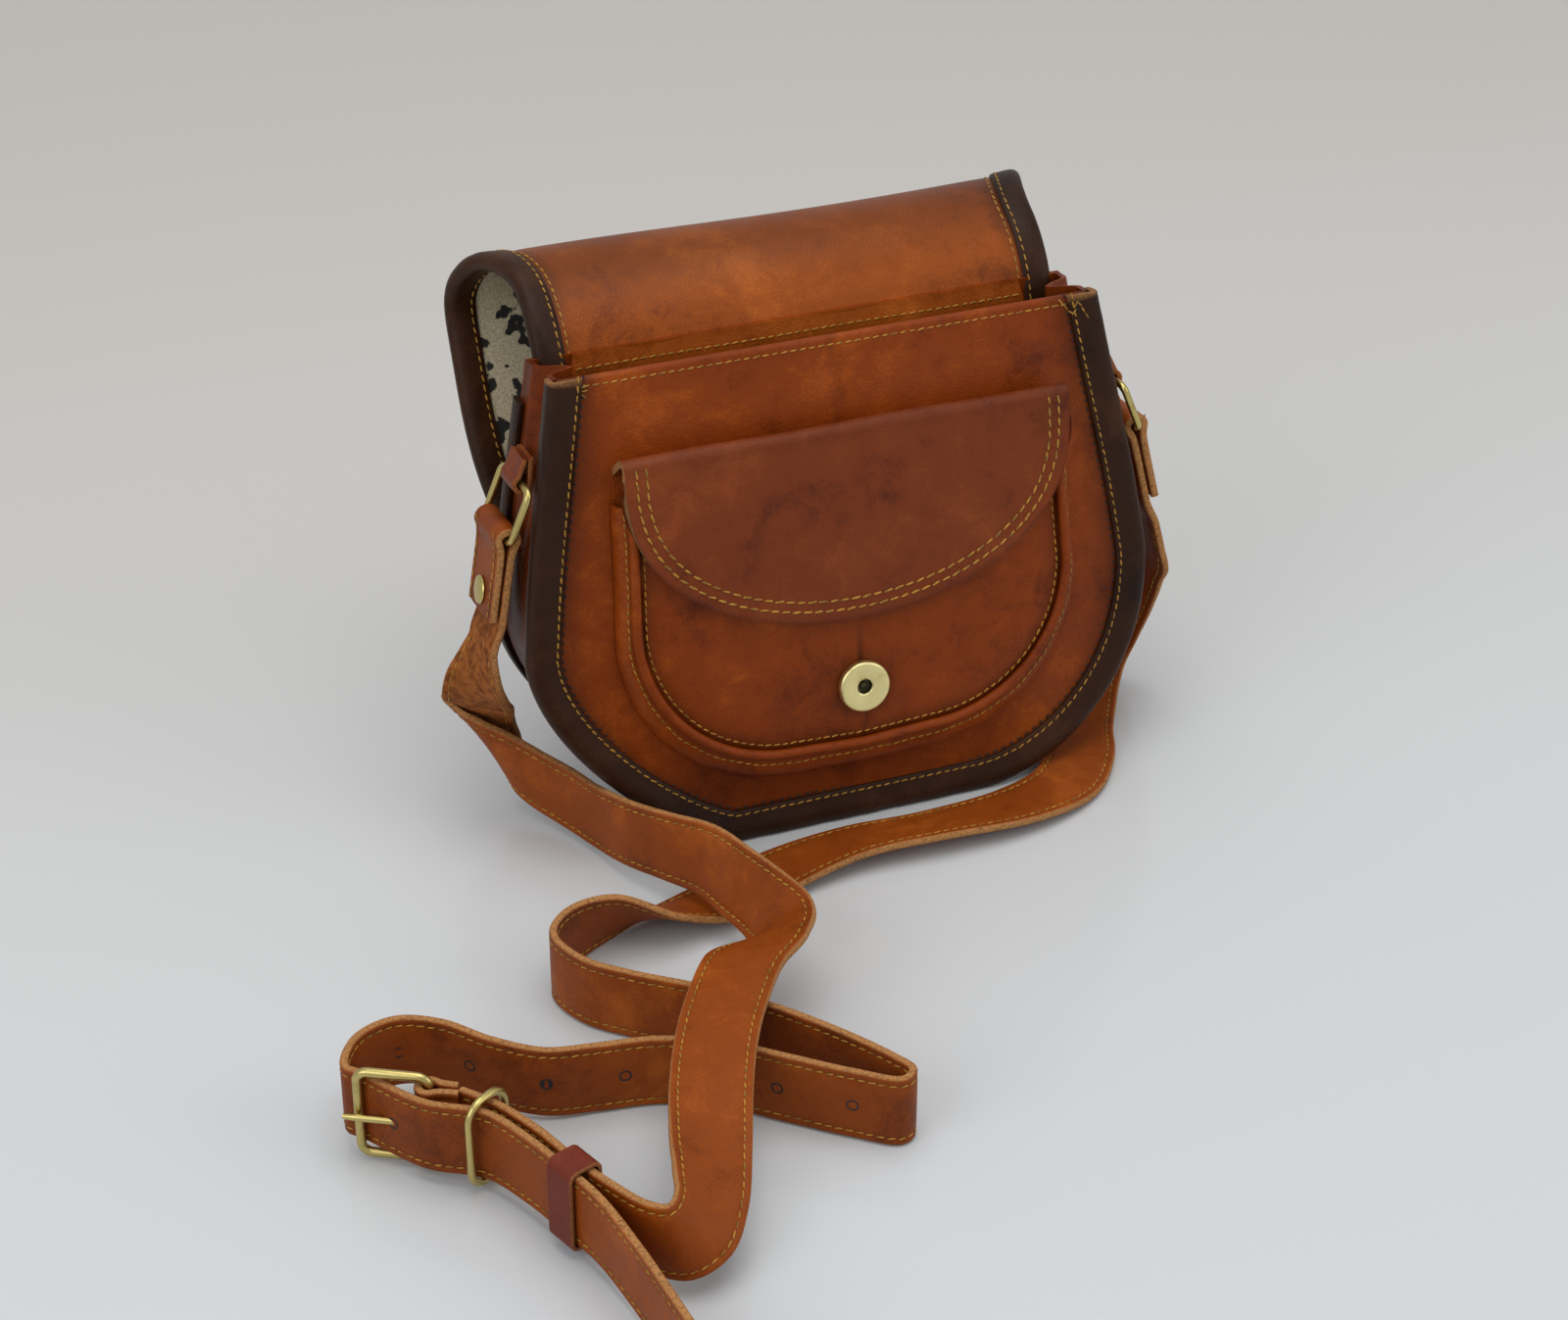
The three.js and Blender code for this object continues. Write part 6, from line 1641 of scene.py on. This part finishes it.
# Side rings: on each side a brass wire ring in a leather tab sewn to the gusset, and the strap's end folded
# round its lower bar and riveted. The ring and the folded end swing together in the tab.
SIDE_RING = {"low": 0, "high": 19, "half": 14.8, "corner": 3.2, "radius": 1.3}
RING_DEPTH_WAY = unit([0, 0.993, -0.118])
TOP_BAR = np.array([105.543, 14.561, 132.654])
LOW_BAR = np.array([112.66, 14.561, 115.037])
RIVET_AT = np.array([116.88, 12.14, 94.61])
RIVET_OFF = 3.4
TAB_WAY = np.array([-0.12, 0.118, 0.985])
TAB_WIDE = 14.0
TAB_THICK = 1.7
TAB_TURN = 2.6
END_WAY = np.array([0.2008, -0.1152, -0.9728])
END_LONG = 40.1
END_SHORT = 28.0
END_MERGE = (28.5, 39.5)
END_STITCH_OFF = 1.45
rivet_cap = [(0.03, 0.0), (4.7, 0.0), (4.85, 0.3), (4.6, 0.75), (3.9, 1.0), (2.4, 1.18), (0.03, 1.25)]
rivet_back = [(0.03, 0.0), (3.8, 0.0), (3.9, 0.4), (3.4, 0.9), (0.03, 1.15)]
for side, sign in (("left", -1), ("right", 1)):
    mirror = np.array([sign, 1, 1])
    top_bar = TOP_BAR * mirror
    low_bar = LOW_BAR * mirror
    ring = piece(
        f"ring_{side}_wire",
        *wire_loop(**SIDE_RING, along=unit(low_bar - top_bar), up=RING_DEPTH_WAY, middle=top_bar),
        brushed_brass,
    )
    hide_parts(f"ring_{side}")
    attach(ring, f"{side}_ring")

    tab_up = unit(TAB_WAY * mirror)
    tab_up = unit(tab_up - np.dot(tab_up, RING_DEPTH_WAY) * RING_DEPTH_WAY)
    tab_out = sign * np.cross(RING_DEPTH_WAY, tab_up)
    arc = np.linspace(math.radians(60), math.radians(-180), 30)
    around = np.column_stack([TAB_TURN * np.cos(arc), TAB_TURN * np.sin(arc)])
    inner_leg = np.column_stack([np.full(14, -TAB_TURN), np.linspace(0.4, 9.0, 14)])
    front_leg = np.column_stack([np.linspace(-0.7, 1.2, 10), np.linspace(8.6, 2.5, 10)])
    tab_line = np.concatenate([front_leg, around[1:], inner_leg])
    tab_path = spaced(top_bar + tab_out * tab_line[:, :1] + tab_up * tab_line[:, 1:], 0.6)
    shape, quads, ends, raw, face = strap_band(tab_path, RING_DEPTH_WAY, TAB_WIDE, TAB_THICK)
    tab = piece(f"ring_tab_{side}_leather", shape, quads, ends, cognac)
    mark(tab, "raw", 0.4 * raw)
    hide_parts(f"ring_tab_{side}")
    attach(tab, "bag")

    end_down = END_WAY * mirror
    end_out = -sign * np.cross(RING_DEPTH_WAY, end_down)
    fold_line = folded_band(END_LONG, END_SHORT, FOLD_TURN, FOLD_LAYER, merge=END_MERGE)
    end_path = spaced(low_bar + end_down * fold_line[:, :1] - end_out * fold_line[:, 1:], 0.8)
    shape, quads, ends, raw, face = strap_band(
        end_path, sign * RING_DEPTH_WAY, STRAP_WIDTH, STRAP_THICK, STRAP_STITCH_IN
    )
    strap_end = piece(f"strap_end_{side}_leather", shape, quads, ends, tan_leather)
    mark(strap_end, "raw", raw)
    mark(strap_end, "flesh", np.where(face < 0, 1.0, 0.0) * (1 - raw))
    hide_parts(f"strap_end_{side}")
    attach(strap_end, f"{side}_ring")
    outer = end_path[int(len(end_path) * 0.62):-2] + end_out * END_STITCH_OFF
    edge_off = RING_DEPTH_WAY * (STRAP_WIDTH / 2 - STRAP_STITCH_IN)
    rows = [stitches(outer + e * edge_off, end_out, **STRAP_STITCH) for e in (-1, 1)]
    end_thread = piece(f"strap_end_{side}_thread", *joined(rows), mustard_thread)
    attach(end_thread, f"{side}_ring")

    rivet_at = RIVET_AT * mirror
    rivet = piece(
        f"strap_rivet_{side}_brass",
        *joined([
            turned(rivet_cap, rivet_at + end_out * RIVET_OFF, end_out, 40),
            turned(rivet_back, rivet_at - end_out * RIVET_OFF, -end_out, 32),
        ]),
        brushed_brass,
    )
    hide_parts(f"strap_rivet_{side}")
    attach(rivet, f"{side}_ring")
